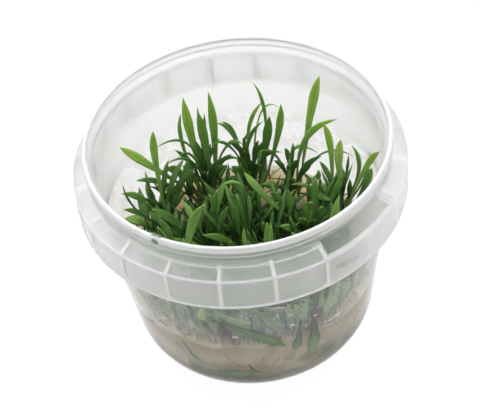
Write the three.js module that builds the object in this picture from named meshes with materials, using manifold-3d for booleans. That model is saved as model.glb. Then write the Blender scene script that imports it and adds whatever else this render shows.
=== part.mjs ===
// Potted Cryptocoryne willisii: young plants in agar gel, in a clear plastic culture cup.
// Millimetres, +Z up, the origin at the middle of the cup's flat underside.
// The front of the cup faces -Y.

import * as THREE from 'three';
import { mergeVertices } from 'three/addons/utils/BufferGeometryUtils.js';
import Module from 'manifold-3d';

const wasm = await Module();
wasm.setup();

// driving dimensions of the cup
const cupHeight = 78;
const wall = 1.0;
const baseThickness = 1.2;
const baseCornerRadius = 36.6; // where the side and the underside would meet if they were sharp
const baseFillet = 13.3;
const sideTopRadius = 44.9; // outside, at the height of the skirt's lower edge
const neckRadius = 44.4;
const lipRadius = 46.3;
const lipThickness = 1.3;
const lipDepth = 3.7;
const neckTop = 73.3;
const neckFoot = 71.5; // the shoulder starts here and slopes outwards
const shoulderRadius = 50.5;
const shoulderHeight = 68.8;
const skirtFoot = 57.4;
const skirtThickness = 0.9;
const skirtLean = 0.2; // the skirt is that much narrower at its lower edge
const shoulderThickness = 1.1; // straight down
const edgeChamfer = 0.5;
const lipChamfer = 0.4;
const seatHeight = 2.2; // inside, from the neck's top up to the step under the lip
const seatFoot = 0.6;
const aroundSteps = 48;
const gelSteps = 36;
const sunk = 0.5; // how far the fins and the nub run into what they join

// the fins under the shoulder
const finCount = 20;
const finThickness = 1.2;
const finTurn = THREE.MathUtils.degToRad(-65.5); // one of them stands at the left end of the notch
const finFootOnSide = 61.5;
const finFootOnSkirt = 58;
const finFootBow = [3, 0.5]; // of its lower edge: in from the skirt, and down from the side

// the notch that is cut out of the shoulder
const notchStart = THREE.MathUtils.degToRad(-64.2);
const notchEnd = THREE.MathUtils.degToRad(-33);
const notchInnerRadius = 44.8;
const notchOuterRadius = 49.3;
const notchFoot = 65;

// the small locating nub on the lip
const nubTurn = THREE.MathUtils.degToRad(-124.5);
const nubWidth = 3.2;
const nubHeight = 0.7;
const nubInset = 0.1; // from both edges of the lip

// the gel and the plants in it
const gap = 0.3; // between pieces that touch
const gelTop = 26;
const gelMeniscus = 1.0; // how far the gel climbs the side
const meniscusRuns = [[0.1, gelMeniscus], [1.6, 0.3], [4.5, 0]]; // how far from the side, how high
const crownRadius = 1.6;
const crownHeight = 3.4;
const crownDepth = 4; // in the gel
const crownShape = [[0.7, -crownDepth], [1, -1], [0.8, 2.4]]; // share of the radius, height on the gel
const roundSteps = 8; // of the crowns and their sockets
const attachRadius = 2.6; // the leaf stalks stand round the crown at this distance
const stalkFoot = 0.6; // above the gel
const stalkSpacing = THREE.MathUtils.degToRad(52);
const stalkWidth = 0.9;
const stalkThickness = 0.7;
const bladeThickness = 0.5;
const bladeFold = 0.16; // how far the edges stand above the midrib, as a share of the half width
const stalkShare = 0.22; // the part of a leaf's length that is a round stalk
const widestShare = 0.68; // where along its length a leaf is widest
const growPower = 1.3; // how the width grows up to there
const tipPower = 1.8; // and how it falls to the pointed tip
const leafShares = [0, stalkShare, 0.46, widestShare, 0.86];
const light = new THREE.Vector3(0, -0.6, 0.8); // the leaves turn their faces this way
const youngLeafCount = 10; // on each crown, where they have room
const youngLeafLength = 22; // of the longest
const youngLeafWidth = 2.3;
const youngLeafShares = [0, 0.6];
const youngLeafSteepness = [1.7, 0.75, 1.15]; // rise for each millimetre outwards
const youngLeafShrink = 0.14; // each next one of three is that share shorter
const youngLeafBow = 0.06;
const youngLeafSpacing = THREE.MathUtils.degToRad(30);
const youngLeafTries = 36; // turns about the crown
const youngLeafRoom = 0.45; // kept free round it
const backRow = 10; // the young leaves of the crowns behind this are shorter
const backRowShare = 0.7;
const runnerWidth = 0.9;
const runnerHeight = 1.2; // of its middle line above the gel
const runnerSteps = 5;
const daughterShare = 0.75; // of the length of its mother's young leaves
const daughterShape = [[1, 0.9], [0.8, 1.8]]; // share of the crown's radius, height on the gel
const daughterHeight = 2.6;

// daughter plants, each at the end of a runner from a crown: the crown's number and the daughter's place
const daughters = [
  { of: 10, at: [-10, -22] },
  { of: 11, at: [13, -26] },
];

// the plantlets: where each crown stands, and for each of its leaves a point halfway along,
// the tip, and how wide the blade is
const plantlets = [
  { at: [-12, 27], leaves: [
    { by: [-14, 28, 52], tip: [-15, 27, 72], width: 3.1 },
    { by: [-7, 28, 51], tip: [-7, 26, 74], width: 2.8 },
    { by: [-10, 25, 51], tip: [-11, 23, 69], width: 3.1 },
    { by: [-17, 25, 52], tip: [-16, 22, 70], width: 1.4 },
    { by: [-28, 20, 51], tip: [-36, 13, 67], width: 3.0 },
    { by: [-25, 20, 43], tip: [-33, 14, 51], width: 1.8 },
    { by: [-19, 24, 42], tip: [-24, 19, 50], width: 2.8 },
  ] },
  { at: [4, 30], leaves: [
    { by: [10, 31, 54], tip: [7, 29, 73], width: 1.2 },
    { by: [13, 27, 50], tip: [15, 24, 67], width: 2.5 },
    { by: [9, 24, 50], tip: [11, 20, 66], width: 3.0 },
    { by: [4, 33, 48], tip: [10, 33, 61], width: 1.4 },
    { by: [0, 30, 48], tip: [-4, 28, 59], width: 1.7 },
    { by: [3, 24, 50], tip: [9, 16, 68], width: 1.4 },
  ] },
  { at: [16, 25], leaves: [
    { by: [24, 28, 56], tip: [28, 28, 73], width: 3.1 },
    { by: [21, 22, 51], tip: [32, 18, 63], width: 2.2 },
    { by: [20, 20, 41], tip: [26, 14, 52], width: 1.9 },
    { by: [18, 30, 41], tip: [26, 29, 39], width: 1.3 },
  ] },
  { at: [30, 13], leaves: [
    { by: [29, 15, 51], tip: [27, 16, 64], width: 2.3 },
    { by: [31, 13, 48], tip: [32, 12, 60], width: 3.0 },
    { by: [37, 12, 45], tip: [35, 11, 58], width: 1.5 },
    { by: [38, 5, 52], tip: [42, -3, 67], width: 2.2 },
    { by: [38, 6, 44], tip: [40, 1, 57], width: 2.5 },
    { by: [23, 11, 40], tip: [15, 12, 43], width: 1.9 },
  ] },
  { at: [-27, 16], leaves: [
    { by: [-26, 16, 55], tip: [-25, 14, 71], width: 2.5 },
    { by: [-32, 14, 42], tip: [-38, 9, 51], width: 2.2 },
    { by: [-33, 11, 39], tip: [-38, 7, 46], width: 2.0 },
    { by: [-32, 7, 39], tip: [-38, 2, 47], width: 3.3 },
  ] },
  { at: [-14, 5], leaves: [
    { by: [-15, 3, 41], tip: [-12, 0, 51], width: 2.5 },
    { by: [-10, 5, 42], tip: [-8, 4, 52], width: 2.2 },
    { by: [-8, 1, 41], tip: [-5, -2, 51], width: 2.0 },
    { by: [-24, 3, 39], tip: [-30, 2, 49], width: 2.6 },
  ] },
  { at: [0, 3], leaves: [
    { by: [-3, 2, 39], tip: [-3, 0, 49], width: 2.1 },
    { by: [6, 0, 35], tip: [6, -4, 44], width: 1.8 },
    { by: [-7, -6, 40], tip: [-14, -12, 50], width: 2.5 },
  ] },
  { at: [19, 3], leaves: [
    { by: [7, 8, 43], tip: [1, 10, 53], width: 2.6 },
    { by: [22, 6, 41], tip: [23, 7, 50], width: 2.5 },
    { by: [28, 5, 43], tip: [32, 3, 54], width: 2.0 },
    { by: [17, -1, 36], tip: [17, -6, 45], width: 2.0 },
  ] },
  { at: [-22, -12], leaves: [
    { by: [-29, -16, 37], tip: [-35, -18, 46], width: 2.8 },
    { by: [-24, -5, 40], tip: [-27, -1, 49], width: 2.8 },
    { by: [-18, -21, 38], tip: [-15, -32, 47], width: 3.0 },
  ] },
  { at: [2, -16], leaves: [
    { by: [-1, -27, 39], tip: [-6, -35, 36], width: 2.8 },
    { by: [9, -26, 40], tip: [16, -34, 46], width: 3.0 },
    { by: [4, -18, 40], tip: [8, -20, 52], width: 2.6 },
  ] },
  { at: [24, -14], leaves: [
    { by: [30, -19, 38], tip: [35, -20, 50], width: 3.0 },
    { by: [23, -25, 37], tip: [25, -33, 44], width: 2.6 },
    { by: [26, -9, 41], tip: [29, -6, 54], width: 2.8 },
  ] },
];

const colours = {
  cup: { color: 0xdfe4e2, roughness: 0.35, metalness: 0 },
  gel: { color: 0xc4b3a0, roughness: 0.3, metalness: 0 },
  crown: { color: 0xb9bf8a, roughness: 0.6, metalness: 0 },
  leaf: { color: 0x3f7a2a, roughness: 0.45, metalness: 0 },
  brightLeaf: { color: 0x6c9c34, roughness: 0.45, metalness: 0 },
};

// a closed three.js shape as a solid that can be joined and cut
function toSolid(geometry) {
  const bare = geometry.clone();
  bare.deleteAttribute('normal');
  bare.deleteAttribute('uv');
  const merged = mergeVertices(bare, 1e-4);
  const corners = merged.index.array;
  const kept = [];
  for (let i = 0; i < corners.length; i += 3) {
    const [a, b, c] = [corners[i], corners[i + 1], corners[i + 2]];
    if (a !== b && b !== c && c !== a) kept.push(a, b, c);
  }
  const solid = new wasm.Manifold(new wasm.Mesh({
    numProp: 3,
    vertProperties: new Float32Array(merged.attributes.position.array),
    triVerts: new Uint32Array(kept),
  }));
  return solid;
}

function toGeometry(solid) {
  const mesh = solid.getMesh();
  const geometry = new THREE.BufferGeometry();
  geometry.setAttribute('position', new THREE.BufferAttribute(mesh.vertProperties, 3));
  geometry.setIndex(new THREE.BufferAttribute(mesh.triVerts, 1));
  geometry.computeVertexNormals();
  return geometry;
}

// turns an outline of [radius, height] points about the upright axis
function turned(outline, steps) {
  const geometry = new THREE.LatheGeometry(outline.map(([r, z]) => new THREE.Vector2(r, z)), steps);
  geometry.rotateX(Math.PI / 2);
  return geometry;
}

// the radius of the cup's outer side at a height
function sideRadius(z) {
  return baseCornerRadius + (sideTopRadius - baseCornerRadius) * Math.min(z / skirtFoot, 1);
}

// points of the round corner between a flat bottom and the sloping side, from the bottom up
function corner(bottom, inset, radius, steps) {
  const lean = Math.atan((sideTopRadius - baseCornerRadius) / skirtFoot);
  const sharp = sideRadius(bottom) - inset / Math.cos(lean);
  const back = radius / Math.tan((Math.PI / 2 + lean) / 2);
  const points = [];
  for (let i = 0; i <= steps; i++) {
    const turn = (i / steps) * (Math.PI / 2 - lean);
    points.push([sharp - back + radius * Math.sin(turn), bottom + radius * (1 - Math.cos(turn))]);
  }
  return points;
}

function cupOutline() {
  const lipFoot = cupHeight - lipDepth;
  const skirtInside = shoulderRadius - skirtThickness;
  return [
    [0, 0],
    ...corner(0, 0, baseFillet, 4),
    [sideTopRadius, skirtFoot],
    [neckRadius, neckFoot - shoulderThickness],
    [skirtInside, shoulderHeight - shoulderThickness],
    [skirtInside - skirtLean, skirtFoot],
    [shoulderRadius - skirtLean, skirtFoot],
    [shoulderRadius, shoulderHeight - edgeChamfer],
    [shoulderRadius - edgeChamfer, shoulderHeight],
    [neckRadius, neckFoot],
    [neckRadius, neckTop],
    [lipRadius, lipFoot],
    [lipRadius, cupHeight - lipChamfer],
    [lipRadius - lipChamfer, cupHeight],
    [lipRadius - lipThickness, cupHeight],
    [lipRadius - lipThickness, neckTop + seatHeight],
    [neckRadius - wall, neckTop + seatFoot],
    [sideTopRadius - wall, skirtFoot],
    ...corner(baseThickness, wall, baseFillet - wall, 3).reverse(),
    [0, baseThickness],
  ];
}

// one fin: it fills the angle between the side, the shoulder and the skirt
function fin(turn) {
  const inner = neckRadius - sunk;
  const outer = shoulderRadius - skirtThickness - skirtLean + sunk;
  const bend = [outer - finFootBow[0], finFootOnSide - finFootBow[1]];
  const shape = new THREE.Shape();
  shape.moveTo(inner, finFootOnSide);
  shape.quadraticCurveTo(...bend, outer, finFootOnSkirt);
  shape.lineTo(outer, shoulderHeight - sunk);
  shape.lineTo(inner, neckFoot - sunk);
  const geometry = new THREE.ExtrudeGeometry(shape, {
    depth: finThickness, bevelEnabled: false, curveSegments: 3,
  });
  geometry.translate(0, 0, -finThickness / 2);
  geometry.rotateX(Math.PI / 2);
  geometry.rotateZ(turn);
  return geometry;
}

// the piece that is cut out of the shoulder: a part of a ring
function notch() {
  const shape = new THREE.Shape();
  shape.absarc(0, 0, notchOuterRadius, notchStart, notchEnd, false);
  shape.absarc(0, 0, notchInnerRadius, notchEnd, notchStart, true);
  const geometry = new THREE.ExtrudeGeometry(shape, {
    depth: cupHeight - lipDepth - notchFoot, bevelEnabled: false, curveSegments: 6,
  });
  geometry.translate(0, 0, notchFoot);
  return geometry;
}

// it stands on the flat top of the lip, inside the chamfer
function nub() {
  const inner = lipRadius - lipThickness + nubInset;
  const outer = lipRadius - lipChamfer - nubInset;
  const geometry = new THREE.BoxGeometry(outer - inner, nubWidth, nubHeight + sunk);
  geometry.translate((inner + outer) / 2, 0, cupHeight + (nubHeight - sunk) / 2);
  geometry.rotateZ(nubTurn);
  return geometry;
}

function cup() {
  let solid = toSolid(turned(cupOutline(), aroundSteps));
  for (let i = 0; i < finCount; i++) {
    const turn = finTurn + (i * 2 * Math.PI) / finCount;
    const inNotch = i > 0 && turn < notchEnd;
    if (!inNotch) solid = solid.add(toSolid(fin(turn)));
  }
  solid = solid.subtract(toSolid(notch()));
  solid = solid.add(toSolid(nub()));
  return toGeometry(solid);
}

// the gel fills the foot of the cup; each crown stands in a socket in it
function gel() {
  const inset = wall + gap;
  const edge = sideRadius(gelTop + gelMeniscus) - inset;
  const outline = [
    [0, baseThickness + gap],
    ...corner(baseThickness + gap, inset, baseFillet - inset, 3),
    ...meniscusRuns.map(([run, rise]) => [edge - run, gelTop + rise]),
    [0, gelTop],
  ];
  let solid = toSolid(turned(outline, gelSteps));
  const socketRadius = crownRadius + gap;
  const socketFoot = gelTop - crownDepth - gap;
  const socketHeight = crownDepth + gap + gelMeniscus; // it comes out above the gel
  for (const { at } of plantlets) {
    const socket = new THREE.CylinderGeometry(socketRadius, socketRadius, socketHeight, roundSteps);
    socket.rotateX(Math.PI / 2);
    socket.translate(at[0], at[1], socketFoot + socketHeight / 2);
    solid = solid.subtract(toSolid(socket));
  }
  return toGeometry(solid);
}

// the middle line of a leaf: from its root past a point halfway along to its tip
function leafLine(root, by, tip) {
  const control = by.clone().multiplyScalar(2).addScaledVector(root, -0.5).addScaledVector(tip, -0.5);
  return new THREE.QuadraticBezierCurve3(root, control, tip);
}

// how wide a leaf is at a share of its length: it widens slowly from the stalk, then ends in a point
function leafWidth(share, width) {
  const grown = (share / widestShare) ** growPower;
  const spent = ((share - widestShare) / (1 - widestShare)) ** tipPower;
  const blade = width * (share < widestShare ? grown : 1 - spent);
  return Math.max(stalkWidth * (1 - share), blade);
}

// a closed leaf with its face to the light: four corners round each section, one point at the tip;
// room makes it that much bigger all round
function leaf(root, by, tip, width, shares, room = 0) {
  const line = leafLine(root, by, tip);
  const across = new THREE.Vector3().crossVectors(tip.clone().sub(root), light);
  const points = [];
  for (const share of shares) {
    const middle = line.getPoint(share);
    const way = line.getTangent(share);
    const side = across.clone().addScaledVector(way, -across.dot(way)).normalize();
    const up = new THREE.Vector3().crossVectors(side, way);
    const thick = (share <= stalkShare ? stalkThickness : bladeThickness) + 2 * room;
    const half = leafWidth(share, width) / 2 + room;
    const lift = share <= stalkShare ? 0 : bladeFold * half;
    points.push(middle.clone().addScaledVector(side, half).addScaledVector(up, lift));
    points.push(middle.clone().addScaledVector(up, thick / 2));
    points.push(middle.clone().addScaledVector(side, -half).addScaledVector(up, lift));
    points.push(middle.clone().addScaledVector(up, -thick / 2));
  }
  points.push(tip.clone().addScaledVector(line.getTangent(1), room));
  const faces = [0, 1, 2, 0, 2, 3];
  for (let row = 0; row < shares.length - 1; row++) {
    for (let k = 0; k < 4; k++) {
      const a = row * 4 + k;
      const b = row * 4 + ((k + 1) % 4);
      faces.push(a, a + 4, b, b, a + 4, b + 4);
    }
  }
  const last = (shares.length - 1) * 4;
  for (let k = 0; k < 4; k++) faces.push(last + k, points.length - 1, last + ((k + 1) % 4));
  const geometry = new THREE.BufferGeometry().setFromPoints(points);
  geometry.setIndex(faces);
  geometry.computeVertexNormals();
  return geometry;
}

// where the stalks stand round the crown: side by side, in the order of the ways their tips point
function attachTurns({ at, leaves }) {
  const ways = leaves.map(({ tip }) => new THREE.Vector2(tip[0] - at[0], tip[1] - at[1]).normalize());
  const middle = ways.reduce((sum, way) => sum.add(way), new THREE.Vector2()).angle();
  const spacing = Math.min(stalkSpacing, (2 * Math.PI) / leaves.length);
  const order = ways.map((way, index) => {
    const turn = way.angle() - middle;
    return { index, turn: Math.atan2(Math.sin(turn), Math.cos(turn)) };
  });
  order.sort((a, b) => a.turn - b.turn);
  const turns = [];
  order.forEach(({ index }, place) => {
    turns[index] = middle + (place - (leaves.length - 1) / 2) * spacing;
  });
  return turns;
}

function plantletLeaf(plantlet, index, turn) {
  const { by, tip, width } = plantlet.leaves[index];
  const root = new THREE.Vector3(
    plantlet.at[0] + attachRadius * Math.cos(turn),
    plantlet.at[1] + attachRadius * Math.sin(turn),
    gelTop + stalkFoot,
  );
  return leaf(root, new THREE.Vector3(...by), new THREE.Vector3(...tip), width, leafShares);
}

// a young leaf of a rosette, leaning out; place is its number there
function youngLeaf({ at, longest }, turn, place, room) {
  const length = longest * (1 - youngLeafShrink * (place % 3));
  const steepness = youngLeafSteepness[place % 3];
  const root = new THREE.Vector3(...at, gelTop + crownHeight / 2);
  const out = new THREE.Vector3(Math.cos(turn), Math.sin(turn), steepness).setLength(length);
  const tip = root.clone().add(out);
  const by = root.clone().addScaledVector(out, 0.5).add(new THREE.Vector3(0, 0, youngLeafBow * length));
  return toSolid(leaf(root, by, tip, youngLeafWidth, youngLeafShares, room));
}

// the turns about a rosette's middle where a young leaf has room between all that stands there already
function freeTurns(rosette, standing) {
  const turns = [];
  const apart = (one, other) => Math.abs(Math.atan2(Math.sin(one - other), Math.cos(one - other)));
  for (let i = 0; i < youngLeafTries && turns.length < youngLeafCount; i++) {
    const turn = (i * 2 * Math.PI) / youngLeafTries;
    const near = turns.some((other) => apart(turn, other) < youngLeafSpacing);
    const roomy = youngLeaf(rosette, turn, turns.length, youngLeafRoom);
    const met = standing.some((other) => !roomy.intersect(other).isEmpty());
    if (!near && !met) turns.push(turn);
  }
  return turns;
}

// a rosette's short stock, from an outline of [share of the crown's radius, height on the gel]
function stock([x, y], foot, outline, height) {
  const points = [
    [0, gelTop + foot],
    ...outline.map(([share, rise]) => [crownRadius * share, gelTop + rise]),
    [0, gelTop + height],
  ];
  const geometry = turned(points, roundSteps);
  geometry.translate(x, y, 0);
  return toSolid(geometry);
}

// a runner along the gel from one rosette to another
function runner(from, to) {
  const start = new THREE.Vector3(...from, gelTop + runnerHeight);
  const end = new THREE.Vector3(...to, gelTop + runnerHeight);
  const way = end.clone().sub(start);
  const geometry = new THREE.CylinderGeometry(runnerWidth / 2, runnerWidth / 2, way.length(), runnerSteps);
  const turn = new THREE.Quaternion().setFromUnitVectors(new THREE.Vector3(0, 1, 0), way.clone().normalize());
  geometry.applyQuaternion(turn);
  geometry.translate(...start.add(end).multiplyScalar(0.5).toArray());
  return toSolid(geometry);
}

// a crown: the short rootstock with its young leaves grown on it, and its runner and daughter, if any
function crown(plantlet, number, standing) {
  const longest = youngLeafLength * (plantlet.at[1] > backRow ? backRowShare : 1);
  const rosettes = [{ at: plantlet.at, longest }];
  let solid = stock(plantlet.at, -crownDepth, crownShape, crownHeight);
  for (const { at } of daughters.filter((daughter) => daughter.of === number)) {
    rosettes.push({ at, longest: longest * daughterShare });
    solid = solid.add(runner(plantlet.at, at)).add(stock(at, gap, daughterShape, daughterHeight));
  }
  for (const rosette of rosettes) {
    freeTurns(rosette, standing).forEach((turn, place) => {
      solid = solid.add(youngLeaf(rosette, turn, place, 0));
    });
  }
  return solid;
}

function piece(name, geometry, look) {
  const mesh = new THREE.Mesh(geometry, new THREE.MeshStandardMaterial(look));
  mesh.name = name;
  return mesh;
}

const part = new THREE.Group();
const cupPiece = piece('cup', cup(), colours.cup);
part.add(cupPiece);
part.add(piece('agar-gel', gel(), colours.gel));
const leafPieces = plantlets.flatMap((plantlet, number) => {
  const turns = attachTurns(plantlet);
  return plantlet.leaves.map((_, index) => {
    const geometry = plantletLeaf(plantlet, index, turns[index]);
    const look = index % 3 === 0 ? colours.brightLeaf : colours.leaf;
    return piece(`plantlet-${number + 1}-leaf-${index + 1}`, geometry, look);
  });
});
const standing = [cupPiece, ...leafPieces].map((mesh) => toSolid(mesh.geometry));
plantlets.forEach((plantlet, number) => {
  const solid = crown(plantlet, number + 1, standing);
  standing.push(solid);
  part.add(piece(`plantlet-${number + 1}-crown`, toGeometry(solid), colours.crown));
});
part.add(...leafPieces);

export default part;
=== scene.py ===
import math
import random

import bmesh
import bpy
from mathutils import Matrix, Vector, noise


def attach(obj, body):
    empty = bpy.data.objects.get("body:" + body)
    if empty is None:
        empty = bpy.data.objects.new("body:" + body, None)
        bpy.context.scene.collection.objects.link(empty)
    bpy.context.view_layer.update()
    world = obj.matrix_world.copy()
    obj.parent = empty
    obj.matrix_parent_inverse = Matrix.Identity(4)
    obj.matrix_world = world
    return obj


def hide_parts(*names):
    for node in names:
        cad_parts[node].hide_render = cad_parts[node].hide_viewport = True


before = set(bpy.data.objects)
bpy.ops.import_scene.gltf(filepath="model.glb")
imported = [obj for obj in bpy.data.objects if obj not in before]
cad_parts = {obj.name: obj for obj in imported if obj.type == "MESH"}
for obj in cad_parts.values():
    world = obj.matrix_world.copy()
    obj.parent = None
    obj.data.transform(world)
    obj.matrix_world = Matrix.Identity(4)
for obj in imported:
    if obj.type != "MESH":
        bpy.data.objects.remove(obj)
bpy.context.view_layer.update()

scene = bpy.context.scene


def mm(value):
    return value * 0.001


def spot(x, y, z):
    return mm(Vector((x, y, z)))


def polar(radius, turn, height):
    return Vector((radius * math.cos(turn), radius * math.sin(turn), height))


# camera, as it stood for the photo

cameraSetup = {
    "distance": mm(500),
    "elevation": math.radians(45.09),
    "roll": math.radians(-7.01),
    "lookAt": spot(-1.63, 0, 46.64),
    "focalPixels": 1613.02,
    "frameWidth": 480,      # pixels
    "sensorWidth": 36,
}


def addCamera(setup):
    tilt = setup["elevation"]
    back = Vector((0, -math.cos(tilt), math.sin(tilt)))
    right = Vector((1, 0, 0))
    up = back.cross(right)
    turn = setup["roll"]
    axisX = right * math.cos(turn) + up * math.sin(turn)
    axisY = up * math.cos(turn) - right * math.sin(turn)
    data = bpy.data.cameras.new("camera")
    data.sensor_width = setup["sensorWidth"]
    data.lens = setup["focalPixels"] * setup["sensorWidth"] / setup["frameWidth"]
    data.clip_start = 0.01
    camera = bpy.data.objects.new("camera", data)
    place = Matrix((axisX, axisY, back)).transposed().to_4x4()
    place.translation = setup["lookAt"] + back * setup["distance"]
    camera.matrix_world = place
    scene.collection.objects.link(camera)
    scene.camera = camera


addCamera(cameraSetup)


# small helpers for meshes

def addObject(name, mesh, *materials):
    piece = bpy.data.objects.new(name, mesh)
    scene.collection.objects.link(piece)
    for material in materials:
        mesh.materials.append(material)
    return piece


def dropObjects(*pieces):
    for piece in pieces:
        bpy.data.objects.remove(piece, do_unlink=True)


def smoothFaces(mesh, sharpAngle):
    mesh.shade_smooth()
    mesh.set_sharp_from_angle(angle=math.radians(sharpAngle))


def finishedMesh(shape, name, turned=True):
    # a mesh from a bmesh, with its faces turned outwards
    if turned:
        bmesh.ops.recalc_face_normals(shape, faces=shape.faces)
    mesh = bpy.data.meshes.new(name)
    shape.to_mesh(mesh)
    shape.free()
    return mesh


def addRings(shape, rings, smooth=False, capped=False, looped=False):
    # joins rings of points, in millimetres, into a surface; a ring of one point is a tip
    rings = [[shape.verts.new(mm(point)) for point in ring] for ring in rings]
    steps = max(len(ring) for ring in rings)
    following = rings[1:] + rings[:1] if looped else rings[1:]
    for low, high in zip(rings, following):
        for k in range(steps):
            n = (k + 1) % steps
            corners = [low[k % len(low)], low[n % len(low)], high[n % len(high)], high[k % len(high)]]
            shape.faces.new(list(dict.fromkeys(corners))).smooth = smooth
    if capped:
        shape.faces.new(rings[0])
        shape.faces.new(rings[-1])


def ringedMesh(name, rings, capped=False):
    shape = bmesh.new()
    addRings(shape, rings, capped=capped)
    return finishedMesh(shape, name)


def turnsRound(steps):
    return [2 * math.pi * k / steps for k in range(steps)]


def circle(middle, across, upward, radius, steps):
    # points of a circle that stands on two directions
    return [
        middle + (across * math.cos(turn) + upward * math.sin(turn)) * radius
        for turn in turnsRound(steps)
    ]


def roundedOutline(points, stepAngle=12):
    # points are (radius, height, rounding); gives the outline with its corners rounded
    outline = []
    for i, (r, z, rounding) in enumerate(points):
        corner = Vector((r, z))
        if rounding == 0 or i in (0, len(points) - 1):
            outline.append(corner)
            continue
        before = (Vector(points[i - 1][:2]) - corner).normalized()
        after = (Vector(points[i + 1][:2]) - corner).normalized()
        opening = before.angle(after)
        run = rounding / math.tan(opening / 2)
        middle = corner + (before + after).normalized() * (rounding / math.sin(opening / 2))
        start = corner + before * run - middle
        end = corner + after * run - middle
        turn = start.angle_signed(end)
        steps = max(2, round(abs(math.degrees(turn)) / stepAngle))
        for k in range(steps + 1):
            share = k / steps
            blend = start * math.sin((1 - share) * abs(turn)) + end * math.sin(share * abs(turn))
            outline.append(middle + blend / math.sin(abs(turn)))
    return outline


def spunMesh(name, points, steps):
    # turns an outline, which starts and ends on the axis, into a closed mesh
    turns = turnsRound(steps)
    rings = []
    for r, z in roundedOutline(points):
        rings.append([polar(r, turn, z) for turn in (turns if r > 1e-6 else turns[:1])])
    return ringedMesh(name, rings)


# small helpers for node trees

def feed(tree, target, source):
    # a socket is linked to the target, and a value is set on it
    if isinstance(source, bpy.types.NodeSocket):
        tree.links.new(source, target)
    else:
        target.default_value = source


def feedInputs(tree, node, **sources):
    # inputs by name, with _ for each space
    for label, source in sources.items():
        feed(tree, node.inputs[label.replace("_", " ")], source)


def addNode(tree, kind, **settings):
    # settings that start with in_ go to the node's inputs, the others to the node
    node = tree.nodes.new(kind)
    for name, value in settings.items():
        if name.startswith("in_"):
            feedInputs(tree, node, **{name[3:]: value})
        else:
            setattr(node, name, value)
    return node


def newMaterial(name, **inputs):
    material = bpy.data.materials.new(name)
    material.use_nodes = True
    tree = material.node_tree
    shader = tree.nodes["Principled BSDF"]
    feedInputs(tree, shader, **inputs)
    return material, tree, shader


def addPlace(tree):
    # the place of a point on its piece, and its three values
    place = addNode(tree, "ShaderNodeTexCoord").outputs["Object"]
    return place, addNode(tree, "ShaderNodeSeparateXYZ", in_Vector=place).outputs


def calculated(tree, operation, *sources, **settings):
    node = addNode(tree, "ShaderNodeMath", operation=operation, **settings)
    for target, source in zip(node.inputs, sources):
        feed(tree, target, source)
    return node.outputs[0]


def ranged(tree, source, start, end, low=0.0, high=1.0, **settings):
    # low where the source is at start, high where it is at end
    node = addNode(
        tree, "ShaderNodeMapRange", in_Value=source, in_From_Min=start, in_From_Max=end,
        in_To_Min=low, in_To_Max=high, **settings)
    return node.outputs[0]


def distance(tree, one, other, toOne=0.0, toOther=0.0):
    # how far a point is from a place in the plane of two of its values
    across = calculated(tree, "SUBTRACT", one, toOne)
    along = calculated(tree, "SUBTRACT", other, toOther)
    square = calculated(tree, "MULTIPLY", along, along)
    return calculated(tree, "SQRT", calculated(tree, "MULTIPLY_ADD", across, across, square))


def noisePattern(tree, place, scale, detail, distortion=0.0):
    node = addNode(
        tree, "ShaderNodeTexNoise", in_Vector=place, in_Scale=scale, in_Detail=detail,
        in_Distortion=distortion)
    return node.outputs["Fac"]


def colourRamp(tree, source, colours):
    # colours are (position, colour), from the lowest position up
    node = addNode(tree, "ShaderNodeValToRGB", in_Fac=source)
    stops = node.color_ramp.elements
    for k, (position, colour) in enumerate(colours):
        stop = stops[k] if k < 2 else stops.new(position)
        stop.position = position
        stop.color = colour
    return node.outputs["Color"]


def mixedColour(tree, share, one, other):
    node = addNode(tree, "ShaderNodeMix", data_type="RGBA", in_Factor=share)
    feed(tree, node.inputs[6], one)
    feed(tree, node.inputs[7], other)
    return node.outputs[2]


def bumped(tree, height, strength, depth):
    node = addNode(tree, "ShaderNodeBump", in_Strength=strength, in_Distance=depth, in_Height=height)
    return node.outputs["Normal"]


socketKinds = {
    int: "NodeSocketInt",
    float: "NodeSocketFloat",
    bpy.types.Material: "NodeSocketMaterial",
}


def newNodeGroup(name, values):
    # a geometry group with a named input for each value
    group = bpy.data.node_groups.new(name, "GeometryNodeTree")
    for way in ("INPUT", "OUTPUT"):
        group.interface.new_socket("Geometry", in_out=way, socket_type="NodeSocketGeometry")
    for label, value in values.items():
        group.interface.new_socket(label, in_out="INPUT", socket_type=socketKinds[type(value)])
    return group, addNode(group, "NodeGroupInput").outputs


def scattered(group, inputs, density, factor=1.0):
    return addNode(
        group, "GeometryNodeDistributePointsOnFaces", distribute_method="POISSON",
        in_Mesh=inputs["Geometry"], in_Distance_Min=inputs["Spacing"], in_Density_Max=density,
        in_Density_Factor=factor, in_Seed=inputs["Seed"]).outputs


def randomNumber(group, low, high, seed):
    node = addNode(group, "FunctionNodeRandomValue", data_type="FLOAT", in_Seed=seed)
    feed(group, node.inputs[2], low)
    feed(group, node.inputs[3], high)
    return node.outputs[1]


def finishGroup(group, inputs, copies):
    # ends a group with real copies in their material
    real = addNode(group, "GeometryNodeRealizeInstances", in_Geometry=copies.outputs[0])
    finish = addNode(
        group, "GeometryNodeSetMaterial", in_Geometry=real.outputs[0], in_Material=inputs["Material"])
    addNode(group, "NodeGroupOutput", in_Geometry=finish.outputs[0])
    return group


def bakedMesh(piece, name):
    # the piece's mesh with its modifiers applied
    graph = bpy.context.evaluated_depsgraph_get()
    mesh = bpy.data.meshes.new_from_object(piece.evaluated_get(graph))
    mesh.name = name
    piece.modifiers.clear()
    return mesh


def bakedNodes(piece, group, values, name):
    # runs a node group on a piece and gives the result as a plain mesh
    modifier = piece.modifiers.new(group.name, "NODES")
    modifier.node_group = group
    for item in group.interface.items_tree:
        if item.in_out == "INPUT" and item.name in values:
            modifier[item.identifier] = values[item.name]
    return bakedMesh(piece, name)


# the cup

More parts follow.
